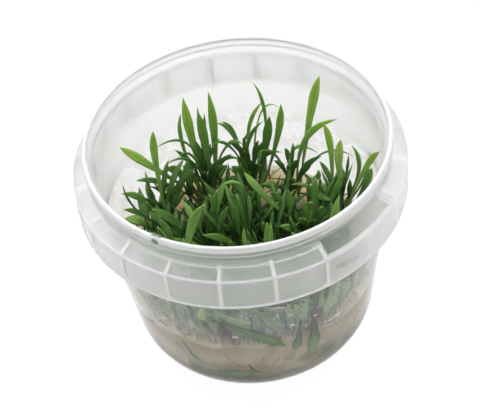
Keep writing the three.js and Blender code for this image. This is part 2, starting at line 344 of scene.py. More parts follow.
# the inner face of its side, as (radius, height, rounding)
innerFoot = (35.76, 1.2, 12.3)
innerTop = (43.9, 57.4, 0)

cupShape = {
    "outline": [             # radius, height, rounding, up the outside and down the inside
        (0, 0, 0),
        (36.6, 0, 13.3),
        (44.9, 57.4, 0),
        (44.43, 70.4, 1.2),
        (49.6, 67.9, 0.7),
        (49.4, 57.4, 0.3),
        (50.3, 57.4, 0.3),
        (50.5, 68.8, 0.8),
        (44.4, 71.5, 0.9),
        (44.4, 73.3, 0.35),
        (46.3, 74.3, 0.5),
        (46.3, 78, 0.55),
        (45.0, 78, 0.45),
        (45.0, 75.5, 0.5),
        (43.4, 73.9, 0.9),
        innerTop,
        innerFoot,
        (0, 1.2, 0),
    ],
    "steps": 216,
    "sharpAngle": 28,
    "fins": {
        "Count": 20,
        "First turn": math.radians(-65.5),
        "Skip from": 1,              # the fins in the notch are left out
        "Skip to": 2,
    },
    "finThickness": 1.2,
    "finOutline": [              # radius, height
        (43.9, 61.5), (45.4, 61.3), (47.1, 60.4), (48.6, 59.2), (49.9, 58), (49.9, 68.3), (43.9, 71),
    ],
    # parts of a flat ring, as inner and outer radius, first and last turn, foot and top
    "notch": ((44.8, 49.3), (math.radians(-64.2), math.radians(-33)), (65, 74.3)),
    "notchSteps": 24,
    "nub": ((45.1, 45.8), (math.radians(-126.517), math.radians(-122.483)), (77.5, 78.7)),
    "nubSteps": 4,
}

cupPlastic = {
    "ior": 1.28,
    "hazeScale": 90,
    "hazeRoughness": 0.05,
    "rippleScale": 45,
    "ripple": (0.12, mm(0.6)),               # strength and depth
    "clearTransmission": 0.925,
    "clearRoughness": 0.065,
    "clearColour": (0.87, 0.855, 0.84, 1),
    "milkyTransmission": 0.913,
    "milkyRoughness": 0.55,
    "milkyColour": (0.99, 0.993, 0.99, 1),
    "mistHeight": (mm(47.5), mm(51.5)),      # the side is clear up to here, and milky from there
    "fogDepth": 0.06,                        # how much the fog takes from the clearness
    "fogScale": 150,
    "fogRange": (0.48, 0.68),
    # places, as (radius, height, reach), where the plastic is thicker and looks whiter
    "whiteRings": [
        (50.4, 68.6, 0.5),
        (50.2, 57.5, 0.9),
        (45.7, 77.9, 0.8),
        (46.4, 77.0, 0.8),
        (46.2, 74.3, 0.45),
        (46.5, 70.5, 0.15),
    ],
    "ringFade": (0.6, 1.5),                  # shares of the reach
    "whiteTransmission": 0.25,
    "whiteColour": (0.985, 0.99, 0.985, 1),
    "finIor": 1.04,
    "finHazeScale": 120,
    "finRoughness": (0.25, 0.4),
    "finReach": (mm(48.6), mm(49.7)),        # the fins get white towards their outer edge
    "finTransmission": (0.93, 0.6),
    "finLine": (mm(0.45), mm(0.8)),          # half the width of the white line where a fin meets the skirt
    "finLineRadius": mm(45.6),               # the lines are outside this
    "finLineTop": mm(72.3),
    # thin places, a lens in the skirt and the neck in the notch: turn, radius, height, tilt, half sizes,
    # transmission, how much of it is edge
    "thinPlaces": [
        (-57.5, 50.0, 63.0, 12, (6.2, 2.4, 1.9), 0.922, 0.3),
        (-55.0, 44.4, 67.0, 0, (14.0, 3.0, 8.0), 0.9205, 0.7),
    ],
    # painted shade of a small recess below the nub, a dark patch on the lip: turn, radius, height, tilt, half
    # sizes
    "nubRecessShade": (-124.8, 46.3, 76.4, 0, (1.3, 1.3, 1.04)),
    "nubRecessShadeColour": (0.22, 0.22, 0.21, 1),
    "nubRecessShadeFade": (0.7, 1.1),
}


def addPatch(tree, place, turn, radius, height, tilt, sizes):
    # 0 in the middle of an oval patch on the cup, 1 at its edge
    angle = math.radians(turn)
    mapping = addNode(
        tree, "ShaderNodeMapping", vector_type="TEXTURE", in_Vector=place,
        in_Location=mm(polar(radius, angle, height)),
        in_Rotation=(0, math.radians(tilt), angle + math.pi / 2),
        in_Scale=[mm(size) for size in sizes])
    away = addNode(tree, "ShaderNodeVectorMath", operation="LENGTH", in_Vector=mapping.outputs[0])
    return away.outputs["Value"]


def sideClearness(tree, setup, place, height):
    # clear low on the side and milky above, with the thin places in it
    milky = setup["milkyTransmission"]
    clearness = ranged(
        tree, height, *setup["mistHeight"], setup["clearTransmission"], milky,
        interpolation_type="SMOOTHSTEP")
    for *patch, transmission, edge in setup["thinPlaces"]:
        thin = ranged(tree, addPatch(tree, place, *patch), 1 - edge, 1.0, transmission, milky)
        clearness = calculated(tree, "MAXIMUM", clearness, thin)
    return clearness


def finLines(tree, setup, parts, radius):
    # white lines where the fins meet the skirt
    fins = cupShape["fins"]
    turn = calculated(tree, "ARCTAN2", parts["Y"], parts["X"])
    fromFin = calculated(tree, "SUBTRACT", turn, fins["First turn"])
    toFin = calculated(tree, "PINGPONG", fromFin, math.pi / fins["Count"])
    aside = calculated(tree, "MULTIPLY", toFin, radius)
    line = ranged(tree, aside, *setup["finLine"], setup["whiteTransmission"], 1.0)
    inside = calculated(tree, "LESS_THAN", radius, setup["finLineRadius"])
    above = calculated(tree, "GREATER_THAN", parts["Z"], setup["finLineTop"])
    return calculated(tree, "MAXIMUM", calculated(tree, "MAXIMUM", line, inside), above)


def foggedClearness(tree, setup, place, parts, clearness):
    # less clear in the fog, and white in the thick rings and along the fins
    radius = distance(tree, parts["X"], parts["Y"])
    clouds = noisePattern(tree, place, setup["fogScale"], 5, 0.5)
    fog = ranged(tree, clouds, *setup["fogRange"], 0.0, setup["fogDepth"])
    clearness = calculated(tree, "SUBTRACT", clearness, fog)
    near, far = setup["ringFade"]
    for ringRadius, height, reach in setup["whiteRings"]:
        away = distance(tree, radius, parts["Z"], mm(ringRadius), mm(height))
        ring = ranged(tree, away, mm(reach * near), mm(reach * far), setup["whiteTransmission"], 1.0)
        clearness = calculated(tree, "MINIMUM", clearness, ring)
    return calculated(tree, "MINIMUM", clearness, finLines(tree, setup, parts, radius))


def frostedPlastic(setup):
    material, tree, shader = newMaterial("frosted cup plastic", IOR=setup["ior"])
    place, parts = addPlace(tree)
    smooth = sideClearness(tree, setup, place, parts["Z"])
    clearness = foggedClearness(tree, setup, place, parts, smooth)
    tint = colourRamp(tree, clearness, [
        (setup[f"{look}Transmission"], setup[f"{look}Colour"]) for look in ("white", "milky", "clear")
    ])
    # painted shade: a dark patch on the lip just below the nub, standing for the shadow in a small recess
    # there
    nubRecessShade = ranged(tree, addPatch(tree, place, *setup["nubRecessShade"]), *setup["nubRecessShadeFade"], 1.0, 0.0)
    blur = ranged(
        tree, smooth, setup["milkyTransmission"], setup["clearTransmission"],
        setup["milkyRoughness"], setup["clearRoughness"])
    haze = noisePattern(tree, place, setup["hazeScale"], 3)
    ripple = noisePattern(tree, place, setup["rippleScale"], 2)
    feedInputs(
        tree, shader, Transmission_Weight=clearness,
        Base_Color=mixedColour(tree, nubRecessShade, tint, setup["nubRecessShadeColour"]),
        Roughness=calculated(tree, "MULTIPLY_ADD", haze, setup["hazeRoughness"], blur),
        Normal=bumped(tree, ripple, *setup["ripple"]))
    return material


def milkyPlastic(setup):
    # the same plastic where it is thick enough to look white
    material, tree, shader = newMaterial(
        "milky fin plastic", Base_Color=setup["whiteColour"], IOR=setup["finIor"])
    place, parts = addPlace(tree)
    radius = distance(tree, parts["X"], parts["Y"])
    haze = noisePattern(tree, place, setup["finHazeScale"], 2)
    feedInputs(
        tree, shader, Transmission_Weight=ranged(tree, radius, *setup["finReach"], *setup["finTransmission"]),
        Roughness=ranged(tree, haze, 0, 1, *setup["finRoughness"]))
    return material


def finGroup(values):
    group, inputs = newNodeGroup("fins under the shoulder", values)
    stations = addNode(group, "GeometryNodePoints", in_Count=inputs["Count"])
    number = addNode(group, "GeometryNodeInputIndex").outputs["Index"]
    spacing = calculated(group, "DIVIDE", 2 * math.pi, inputs["Count"])
    turn = calculated(group, "MULTIPLY_ADD", number, spacing, inputs["First turn"])
    before = calculated(group, "LESS_THAN", number, inputs["Skip from"])
    after = calculated(group, "GREATER_THAN", number, inputs["Skip to"])
    copies = addNode(
        group, "GeometryNodeInstanceOnPoints", in_Points=stations.outputs[0],
        in_Selection=calculated(group, "ADD", before, after), in_Instance=inputs["Geometry"],
        in_Rotation=addNode(group, "ShaderNodeCombineXYZ", in_Z=turn).outputs[0])
    return finishGroup(group, inputs, copies)


def plateMesh(name, outline, thickness):
    # a flat plate from an outline of (radius, height), standing along X, half its thickness each way
    rings = [[Vector((r, side * thickness / 2, z)) for r, z in outline] for side in (-1, 1)]
    return ringedMesh(name, rings, capped=True)


def ringSector(name, radii, turns, heights, steps):
    # a part of a flat ring, from one height to another
    inner, outer = radii
    low, high = heights
    corners = [(inner, low), (outer, low), (outer, high), (inner, high)]
    rings = []
    for k in range(steps + 1):
        turn = turns[0] + (turns[1] - turns[0]) * k / steps
        rings.append([polar(r, turn, z) for r, z in corners])
    return ringedMesh(name, rings, capped=True)


def wallPlace(turn, height, inset):
    # a point at the cup's inner face, or inset from it, at a turn in degrees
    footRadius, footHeight, rounding = innerFoot
    topRadius, topHeight, _ = innerTop
    radius = footRadius + (topRadius - footRadius) * (height - footHeight) / (topHeight - footHeight)
    below = footHeight + rounding - height
    if below > 0:
        radius -= rounding - math.sqrt(rounding ** 2 - below ** 2)
    return polar(radius - inset, math.radians(turn), height)


def addBoolean(piece, other, operation):
    modifier = piece.modifiers.new(operation.lower(), "BOOLEAN")
    modifier.operation = operation
    modifier.object = other
    modifier.solver = "EXACT"
    modifier.material_mode = "TRANSFER"


def makeCup(shape):
    plastic = frostedPlastic(cupPlastic)
    milky = milkyPlastic(cupPlastic)
    cup = addObject("culture-cup", spunMesh("cup", shape["outline"], shape["steps"]), plastic)
    fin = addObject("one-fin", plateMesh("fin", shape["finOutline"], shape["finThickness"]), milky)
    values = {**shape["fins"], "Material": milky}
    fins = addObject("fins", bakedNodes(fin, finGroup(values), values, "fins"))
    notch = addObject("notch", ringSector("notch", *shape["notch"], shape["notchSteps"]), plastic)
    nub = addObject("nub", ringSector("nub", *shape["nub"], shape["nubSteps"]), milky)
    addBoolean(cup, fins, "UNION")
    addBoolean(cup, notch, "DIFFERENCE")
    addBoolean(cup, nub, "UNION")
    cup.data = bakedMesh(cup, "cup")
    dropObjects(fin, fins, notch, nub)
    smoothFaces(cup.data, shape["sharpAngle"])
    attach(cup, "root")
    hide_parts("cup")


makeCup(cupShape)
print("cup made")


# the gel

gelLevel = 26                    # height of its open top

gelShape = {
    "outline": [                 # radius, height, rounding
        (0, 1.0, 0),
        (36.0, 1.0, 12.3),
        (39.8, 27.2, 0.05),      # it wets the wall, so it reaches a little into the inner face
        (38.2, 26.25, 1.2),
        *[(radius, gelLevel, 0) for radius in (33, 28, 23, 18, 13, 8, 4, 0)],
    ],
    "steps": 120,
    "sharpAngle": 50,
    "waveSize": mm(9),
    "waveHeight": mm(0.5),
    "edgeRadius": mm(38),
    "edgeWaves": mm(2.2),        # how unevenly the gel climbs the wall
}

gelClouds = {
    "scale": 65,
    "detail": 4,
    "distortion": 0.8,
    "range": (0.2, 0.8),
}

# the look of its side, whose colours change from the foot up: the gel's own tan, painted dark low down as
# shade
shadedGelSide = {
    "axis": "Z",
    "span": (mm(0), mm(26.5)),
    "wallSpan": (mm(50), mm(60)),
    "clouding": 0.3,
    "colours": [
        (0.3, (0.075, 0.078, 0.018, 1)),
        (0.5, (0.19, 0.175, 0.075, 1)),
        (0.72, (0.54, 0.46, 0.33, 1)),
        (1.0, (0.50, 0.43, 0.31, 1)),
    ],
    "gloss": 0.0,                # it is wet against the wall, so only the top shows a gloss
    "roughness": 0.6,
    "translucence": (0.2, mm(3)),    # how much of it, and how deep the light goes
}

# and of its top, with painted shade: dark where the plants shade it, and painted paler at the back and along
# the wall where less shade falls
shadedGelTop = {
    "axis": "Y",
    "span": (mm(8), mm(26)),
    "wallSpan": (mm(28), mm(38)),
    "clouding": 0.12,
    "colours": [
        (0.1, (0.09, 0.08, 0.04, 1)),
        (0.5, (0.22, 0.175, 0.095, 1)),
        (0.95, (0.95, 0.76, 0.50, 1)),
    ],
    "gloss": 0.4,
    "roughness": 0.3,
    "translucence": (0.9, mm(12)),
}


def cloudyGel(name, look):
    weight, depth = look["translucence"]
    material, tree, shader = newMaterial(
        name, Roughness=look["roughness"], Specular_IOR_Level=look["gloss"], IOR=1.34,
        Subsurface_Weight=weight, Subsurface_Scale=depth, Subsurface_Radius=(1.0, 0.85, 0.65))
    place, parts = addPlace(tree)
    # the colour changes along the axis and towards the wall, carrying the painted shade of the side and the
    # top, and the clouds shift it
    along = ranged(tree, parts[look["axis"]], *look["span"])
    outwards = ranged(tree, distance(tree, parts["X"], parts["Y"]), *look["wallSpan"])
    clouds = noisePattern(tree, place, gelClouds["scale"], gelClouds["detail"], gelClouds["distortion"])
    shift = ranged(tree, clouds, *gelClouds["range"], -look["clouding"], look["clouding"])
    mixed = calculated(tree, "ADD", calculated(tree, "MAXIMUM", along, outwards), shift)
    feedInputs(tree, shader, Base_Color=colourRamp(tree, mixed, look["colours"]))
    return material


def makeGel(shape):
    mesh = spunMesh("gel", shape["outline"], shape["steps"])
    for vertex in mesh.vertices:
        if vertex.co.z < mm(gelLevel - 0.01):
            continue
        inMiddle = vertex.co.xy.length < shape["edgeRadius"]
        wave = shape["waveHeight"] if inMiddle else shape["edgeWaves"]
        vertex.co.z += noise.noise(vertex.co / shape["waveSize"]) * wave
    smoothFaces(mesh, shape["sharpAngle"])
    side = cloudyGel("agar gel against the wall with painted shade", shadedGelSide)
    openTop = cloudyGel("open top of the agar gel with painted shade", shadedGelTop)
    gel = addObject("gel-block", mesh, side, openTop)
    for face in mesh.polygons:
        isTop = face.normal.z > 0.5 and face.center.z > mm(gelLevel - 1)
        face.material_index = 1 if isTop else 0
    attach(gel, "root")
    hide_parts("agar-gel")


makeGel(gelShape)
print("gel made")


# the plants

plantShape = {
    "attachRadius": 2.6,
    "stalkFoot": -0.4,           # the stalks start just under the gel's face
    "stalkSpacing": math.radians(52),
    "stalkWidth": 0.9,
    "stalkThickness": 0.75,
    "bladeThickness": 0.42,
    "stalkShare": 0.22,          # of the leaf's length
    "stalkFade": 0.12,           # over which the stalk turns into the blade
    "widestShare": 0.68,
    "tipPower": 1.8,
    "fold": (0.2, 1.3),          # how far the edges fold up, and how round the fold is
    "waves": (21, 1.6),          # along the edges, and how much they differ from edge to edge
    "edgeThinning": 0.35,
    "twistStart": 0.25,          # where along its length a twisted leaf isn't turned
    "twists": (-0.3, 0.3),
    "waviness": (0.0, 0.12),
    "light": Vector((0, -0.6, 0.8)),
}

# points of a leaf's section: from edge to edge, and whether on its upper or its under face
leafSections = {
    "full": [(-1, 0), (-0.5, 1), (0, 1), (0.5, 1), (1, 0), (0.5, -1), (0, -1), (-0.5, -1)],
    "plain": [(-1, 0), (0, 1), (1, 0), (0, -1)],
}

# where each crown stands, and for its leaves a point halfway along, the tip, the blade's width
# and how bright it is, from 0 for the darkest to 1; this holds the leaf's own green and painted light and
# shade, higher for a leaf lying in light and lower for one in shade
plantlets = [
    ((-12, 27), [
        ((-14, 28, 52), (-15, 27, 72), 3.1, 0.84),
        ((-7, 28, 51), (-7, 26, 74), 2.8, 0.72),
        ((-10, 25, 51), (-11, 23, 69), 3.1, 0.5),
        ((-17, 25, 52), (-16, 22, 70), 1.4, 0.55),
        ((-28, 20, 51), (-36, 13, 67), 3.0, 0.8),
        ((-25, 20, 43), (-33, 14, 51), 1.8, 0.3),
        ((-19, 24, 42), (-24, 19, 50), 2.8, 0.68),
    ]),
    ((4, 30), [
        ((10, 31, 54), (7, 29, 73), 1.2, 0.5),
        ((13, 27, 50), (15, 24, 67), 2.5, 0.7),
        ((9, 24, 50), (11, 20, 66), 3.0, 0.34),
        ((4, 33, 48), (10, 33, 61), 1.4, 0.6),
        ((0, 30, 48), (-4, 28, 59), 1.7, 0.45),
        ((3, 24, 50), (9, 16, 68), 1.4, 0.35),
    ]),
    ((16, 25), [
        ((24, 28, 56), (28, 28, 73), 3.1, 0.84),
        ((21, 22, 51), (32, 18, 63), 2.2, 0.62),
        ((20, 20, 41), (26, 14, 52), 1.9, 0.2),
        ((18, 30, 41), (26, 29, 39), 1.3, 0.6),
    ]),
    ((30, 13), [
        ((29, 15, 51), (27, 16, 64), 2.3, 0.76),
        ((31, 13, 48), (32, 12, 60), 3.0, 0.95),
        ((37, 12, 45), (35, 11, 58), 1.5, 0.5),
        ((38, 5, 52), (42, -3, 67), 2.2, 0.85),
        ((38, 6, 44), (40, 1, 57), 2.5, 0.5),
        ((23, 11, 40), (15, 12, 43), 1.3, 0.25),
    ]),
    ((-27, 16), [
        ((-26, 16, 55), (-25, 14, 71), 2.5, 0.75),
        ((-32, 14, 42), (-38, 9, 51), 2.2, 0.5),
        ((-33, 11, 39), (-38, 7, 46), 2.0, 0.45),
        ((-32, 7, 39), (-38, 2, 47), 3.3, 0.72),
    ]),
    ((-14, 5), [
        ((-15, 3, 41), (-12, 0, 51), 2.9, 0.8),
        ((-10, 5, 42), (-8, 4, 52), 2.2, 0.35),
        ((-8, 1, 41), (-5, -2, 51), 2.0, 0.4),
        ((-24, 3, 39), (-30, 2, 49), 2.6, 0.35),
    ]),
    ((0, 3), [
        ((-3, 2, 39), (-3, 0, 49), 2.1, 0.45),
        ((6, 0, 35), (6, -4, 44), 1.8, 0.6),
        ((-7, -6, 40), (-14, -12, 50), 2.5, 0.35),
    ]),
    ((19, 3), [
        ((7, 8, 43), (1, 10, 53), 2.6, 0.6),
        ((22, 6, 41), (23, 7, 50), 2.5, 0.45),
        ((28, 5, 43), (32, 3, 54), 2.0, 0.4),
        ((17, -1, 36), (17, -6, 45), 2.0, 0.2),
    ]),
    ((-22, -12), [
        ((-29, -16, 37), (-35, -18, 46), 2.8, 0.5),
        ((-24, -5, 40), (-27, -1, 49), 2.8, 0.2),
        ((-18, -21, 38), (-15, -32, 47), 3.0, 0.5),
    ]),
    ((2, -16), [
        ((-1, -27, 39), (-6, -35, 36), 2.8, 0.5),
        ((9, -26, 40), (16, -34, 46), 3.0, 0.35),
        ((4, -18, 40), (8, -20, 52), 2.6, 0.6),
    ]),
    ((24, -14), [
        ((30, -19, 38), (35, -20, 50), 3.0, 0.6),
        ((23, -25, 37), (25, -33, 44), 2.6, 0.5),
        ((26, -9, 41), (29, -6, 54), 2.8, 0.5),
    ]),
]


leafLook = {
    "greens": [                  # from the darkest tone to the brightest
        (0.0, (0.022, 0.075, 0.016, 1)),
        (0.45, (0.155, 0.36, 0.062, 1)),
        (0.75, (0.32, 0.61, 0.088, 1)),
        (1.0, (0.52, 0.74, 0.12, 1)),
    ],
    "mottling": 0.16,
    "tipAndFootShade": (0.34, -0.2),    # the tip's own paler green and painted shade at the foot: how much brighter the tip is than the foot, and the change at the foot
    "sheenHeights": (mm(49), mm(58)),  # painted sheen up to the first height, none from the second
    "sheenSaturation": 0.82,
    "sheenValue": 0.95,
    "ribColour": (0.17, 0.30, 0.07, 1),
    "ribWidth": (0.02, 0.09),
    "ribShare": 0.42,            # how strong the rib's colour is, and below the stalk's
    "stalkColours": [
        (0.42, (0.17, 0.27, 0.06, 1)),
        (0.6, (0.24, 0.17, 0.09, 1)),
    ],
    "stalkLength": (0.05, 0.36),
    "stalkShare": 0.55,
    "mottleScale": 260,
    "brownScale": 120,
    "roughness": (0.32, 0.5),
    "veins": (3.2, 0.4),             # scale and distortion
    "veinBump": (0.25, mm(0.1)),     # strength and depth
}


def leafGreen(look):
    material, tree, shader = newMaterial(
        "leaf green", IOR=1.42, Subsurface_Weight=0.12, Subsurface_Radius=(0.5, 1.0, 0.2),
        Subsurface_Scale=mm(0.8))
    place, parts = addPlace(tree)
    tone = addNode(tree, "ShaderNodeAttribute", attribute_name="tone").outputs["Fac"]
    onLeaf = addNode(tree, "ShaderNodeTexCoord").outputs["UV"]
    along = addNode(tree, "ShaderNodeSeparateXYZ", in_Vector=onLeaf).outputs
    mottle = noisePattern(tree, place, look["mottleScale"], 3)
    shift = ranged(tree, mottle, 0, 1, -look["mottling"], look["mottling"])
    # partly the leaf's own paler tip, partly painted shade darkening the foot
    tipwardWithFootShade = calculated(tree, "MULTIPLY_ADD", along["Y"], *look["tipAndFootShade"])
    level = calculated(tree, "ADD", calculated(tree, "ADD", tone, shift), tipwardWithFootShade)
    blade = colourRamp(tree, level, look["greens"])
    # painted sheen: the bright leaves low in the tuft are greyed, a painted reflection of the pale sky and
    # wall on them
    low = ranged(tree, parts["Z"], *look["sheenHeights"], 1.0, 0.0)
    paintedSheen = calculated(tree, "MULTIPLY", low, tone, use_clamp=True)
    sheenGreyed = addNode(
        tree, "ShaderNodeHueSaturation", in_Saturation=look["sheenSaturation"],
        in_Value=look["sheenValue"], in_Fac=paintedSheen, in_Color=blade).outputs["Color"]
    # the midrib is a paler line down the middle
    offMiddle = calculated(tree, "ABSOLUTE", calculated(tree, "SUBTRACT", along["X"], 0.5))
    rib = ranged(tree, offMiddle, *look["ribWidth"], look["ribShare"], 0.0)
    ribbed = mixedColour(tree, rib, sheenGreyed, look["ribColour"])
    # the stalk is paler than the blade, and brown here and there
    stalk = ranged(tree, along["Y"], *look["stalkLength"], look["stalkShare"], 0.0)
    browned = colourRamp(tree, noisePattern(tree, place, look["brownScale"], 1), look["stalkColours"])
    # fine veins along the blade
    scale, distortion = look["veins"]
    veins = addNode(
        tree, "ShaderNodeTexWave", bands_direction="X", in_Scale=scale, in_Distortion=distortion,
        in_Vector=onLeaf).outputs["Fac"]
    feedInputs(
        tree, shader, Base_Color=mixedColour(tree, stalk, ribbed, browned),
        Roughness=ranged(tree, mottle, 0, 1, *look["roughness"]),
        Normal=bumped(tree, veins, *look["veinBump"]))
    return material


def bend(root, by, tip, share):
    # a point and the direction at a share of the curve from root past by to tip
    control = by * 2 - (root + tip) / 2
    point = root * (1 - share) ** 2 + control * (2 * share * (1 - share)) + tip * share ** 2
    way = (control - root) * (2 * (1 - share)) + (tip - control) * (2 * share)
    return point, way.normalized()


def leafWidth(share, width):
    # it widens evenly from the stalk, then ends in a point
    widest = plantShape["widestShare"]
    if share < widest:
        blade = share / widest
    else:
        blade = 1 - ((share - widest) / (1 - widest)) ** plantShape["tipPower"]
    return max(plantShape["stalkWidth"] * (1 - share), width * blade)


def addLeaf(
        shape, root, by, tip, width, tone=None, twist=0.0, wave=0.0, rows=24, section="full", facing=None):
    # adds one closed leaf, in millimetres, to a bmesh
    uvLayer = shape.loops.layers.uv.verify()
    toneLayer = None
    if tone is not None:
        toneLayer = shape.verts.layers.float.get("tone") or shape.verts.layers.float.new("tone")
    corners = leafSections[section]
    fold, roundness = plantShape["fold"]
    waves, waveShift = plantShape["waves"]
    facing = facing or (tip - root).cross(plantShape["light"]).normalized()

    def addVertex(point):
        vertex = shape.verts.new(mm(point))
        if toneLayer:
            vertex[toneLayer] = tone
        return vertex

    def addFace(vertices, places):
        face = shape.faces.new(vertices)
        face.smooth = True
        for loop, place in zip(face.loops, places):
            loop[uvLayer].uv = place

    sections = []
    for i in range(rows):
        share = i / rows
        middle, way = bend(root, by, tip, share)
        side = (facing - way * facing.dot(way)).normalized()
        side.rotate(Matrix.Rotation(twist * (share - plantShape["twistStart"]), 3, way))
        up = side.cross(way).normalized()
        half = leafWidth(share, width) / 2
        inBlade = min(1, max(0, (share - plantShape["stalkShare"]) / plantShape["stalkFade"]))
        thick = plantShape["stalkThickness"] * (1 - inBlade) + plantShape["bladeThickness"] * inBlade
        points = []
        for a, face in corners:
            lift = fold * half * abs(a) ** roundness * inBlade
            lift += wave * half * math.sin(share * waves + a * waveShift) * abs(a) * inBlade
            level = face * min(thick, half * 1.5) / 2 * (1 - plantShape["edgeThinning"] * abs(a))
            points.append(addVertex(middle + side * (half * a) + up * (lift + level)))
        sections.append(points)
    end = addVertex(tip)
    last = (rows - 1) / rows
    for k in range(len(corners)):
        n = (k + 1) % len(corners)
        u, v = corners[k][0] / 2 + 0.5, corners[n][0] / 2 + 0.5
        for i in range(rows - 1):
            low, high = i / rows, (i + 1) / rows
            addFace(
                (sections[i][k], sections[i + 1][k], sections[i + 1][n], sections[i][n]),
                ((u, low), (u, high), (v, high), (v, low)))
        addFace((sections[-1][k], end, sections[-1][n]), ((u, last), (0.5, 1), (v, last)))
    addFace(sections[0], [(a / 2 + 0.5, 0) for a, face in corners])


def stalkTurns(at, leaves):
    # the turns at which the stalks stand round the crown, in the order of the ways their tips point
    ways = [Vector((tip[0] - at[0], tip[1] - at[1])).normalized() for _, tip, _, _ in leaves]
    total = sum(ways, Vector((0, 0)))
    middle = math.atan2(total.y, total.x)
    spacing = min(plantShape["stalkSpacing"], 2 * math.pi / len(leaves))

    def fromMiddle(way):
        turn = math.atan2(way.y, way.x) - middle
        return math.atan2(math.sin(turn), math.cos(turn))

    order = sorted(range(len(leaves)), key=lambda index: fromMiddle(ways[index]))
    turns = [0.0] * len(leaves)
    for place, index in enumerate(order):
        turns[index] = middle + (place - (len(leaves) - 1) / 2) * spacing
    return turns


def makePlantletLeaves(green):
    random.seed(11)
    for number, (at, leaves) in enumerate(plantlets, 1):
        shape = bmesh.new()
        foot = Vector((*at, gelLevel + plantShape["stalkFoot"]))
        for (by, tip, width, tone), turn in zip(leaves, stalkTurns(at, leaves)):
            root = foot + polar(plantShape["attachRadius"], turn, 0)
            addLeaf(
                shape, root, Vector(by), Vector(tip), width, tone,
                twist=random.uniform(*plantShape["twists"]), wave=random.uniform(*plantShape["waviness"]))
        mesh = finishedMesh(shape, f"leaves of plantlet {number}")
        piece = addObject(f"plantlet-{number}-leaves", mesh, green)
        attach(piece, "root")
        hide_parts(*[f"plantlet-{number}-leaf-{k}" for k in range(1, len(leaves) + 1)])


green = leafGreen(leafLook)
makePlantletLeaves(green)
print("grown leaves made")


crownShape = {
    # radius, height on the gel
    "outline": [(0, -4), (1.1, -4), (1.6, -1), (1.45, 1), (1.2, 2.5), (0, 3.4)],
    "daughterOutline": [(0, 0.3), (1.2, 0.5), (1.6, 0.9), (1.3, 1.8), (0, 2.6)],
    "steps": 16,
    "unevenness": 0.15,
    "patchScale": 400,
    "colours": [
        (0.35, (0.10, 0.12, 0.035, 1)),
        (0.7, (0.26, 0.27, 0.11, 1)),
    ],
    "leafHeight": 1.7,           # where the young leaves start, above the gel
    "youngLength": 22,
    "youngShrink": 0.14,
    "youngSteepness": (1.7, 0.75, 1.15),
    "youngBow": 0.06,
    "youngWidth": 2.3,
    "youngCount": 10,
    "youngRows": 14,
    "youngWidths": (0.9, 1.15),      # shares of the width
    "youngTones": (0.15, 0.65),
    "youngTwists": (-0.5, 0.5),
    "tipTolerance": 0.05,
    "backRow": 10,               # the young leaves of the crowns behind this are shorter
    "backRowShare": 0.7,
    "daughterShare": 0.75,
    "runnerWidth": 0.9,
    "runnerHeight": 1.2,
    "runnerBow": 0.25,
    "runnerSteps": 8,
    "runnerSides": 8,
}

# daughter plants, each at the end of a runner: the number of the crown it comes from, its place
daughters = [
    (10, (-10, -22)),
    (11, (13, -26)),
]


def crownTissue(setup):
    material, tree, shader = newMaterial("crown tissue", Roughness=0.5)
    place, _ = addPlace(tree)
    patches = noisePattern(tree, place, setup["patchScale"], 3)
    feedInputs(tree, shader, Base_Color=colourRamp(tree, patches, setup["colours"]))
    return material


def addStock(shape, at, outline):
    # a rosette's short stock, a little uneven
    rings = []
    for radius, height in outline:
        middle = Vector((*at, gelLevel + height))
        if radius == 0:
            rings.append([middle])
            continue
        rings.append([
            middle + polar(radius, turn, crownShape["unevenness"] * math.sin(k * 2.4))
            for k, turn in enumerate(turnsRound(crownShape["steps"]))
        ])
    addRings(shape, rings, smooth=True)


def addRunner(shape, start, end):
    # a thin round stem along the gel from one stock to another
    root, tip = [Vector((*at, gelLevel + crownShape["runnerHeight"])) for at in (start, end)]
    way = (tip - root).normalized()
    side = Vector((-way.y, way.x, 0))
    steps = crownShape["runnerSteps"]
    rings = []
    for i in range(steps + 1):
        middle = root.lerp(tip, i / steps) + side * (crownShape["runnerBow"] * math.sin(i * 1.3))
        half = crownShape["runnerWidth"] / 2
        rings.append(circle(middle, side, Vector((0, 0, 1)), half, crownShape["runnerSides"]))
    addRings(shape, rings, smooth=True, capped=True)


def addYoungLeaves(shape, at, longest, points):
    # the young leaves stand where the CAD crown has their tips
    root = Vector((*at, gelLevel + crownShape["leafHeight"]))
    for place in range(crownShape["youngCount"]):
        length = longest * (1 - crownShape["youngShrink"] * (place % 3))
        steep = crownShape["youngSteepness"][place % 3]
        out = length / math.hypot(1, steep)

        def miss(point):
            return abs(point.z - root.z - out * steep) + abs((point - root).xy.length - out)

        points.sort(key=miss)
        tip = points[0]
        if miss(tip) > crownShape["tipTolerance"]:
            continue
        points.remove(tip)
        by = (root + tip) / 2 + Vector((0, 0, crownShape["youngBow"] * length))
        addLeaf(
            shape, root, by, tip, crownShape["youngWidth"] * random.uniform(*crownShape["youngWidths"]),
            tone=random.uniform(*crownShape["youngTones"]),
            twist=random.uniform(*crownShape["youngTwists"]), rows=crownShape["youngRows"])


def addCrown(shape, number, at):
    # the rootstock and its young leaves, and the runner and daughter plant of those that have one
    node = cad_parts[f"plantlet-{number}-crown"]
    points = [vertex.co * 1000 for vertex in node.data.vertices]
    longest = crownShape["youngLength"]
    if at[1] > crownShape["backRow"]:
        longest *= crownShape["backRowShare"]
    addStock(shape, at, crownShape["outline"])
    addYoungLeaves(shape, at, longest, points)
    for mother, place in daughters:
        if mother == number:
            addRunner(shape, at, place)
            addStock(shape, place, crownShape["daughterOutline"])
            addYoungLeaves(shape, place, longest * crownShape["daughterShare"], points)


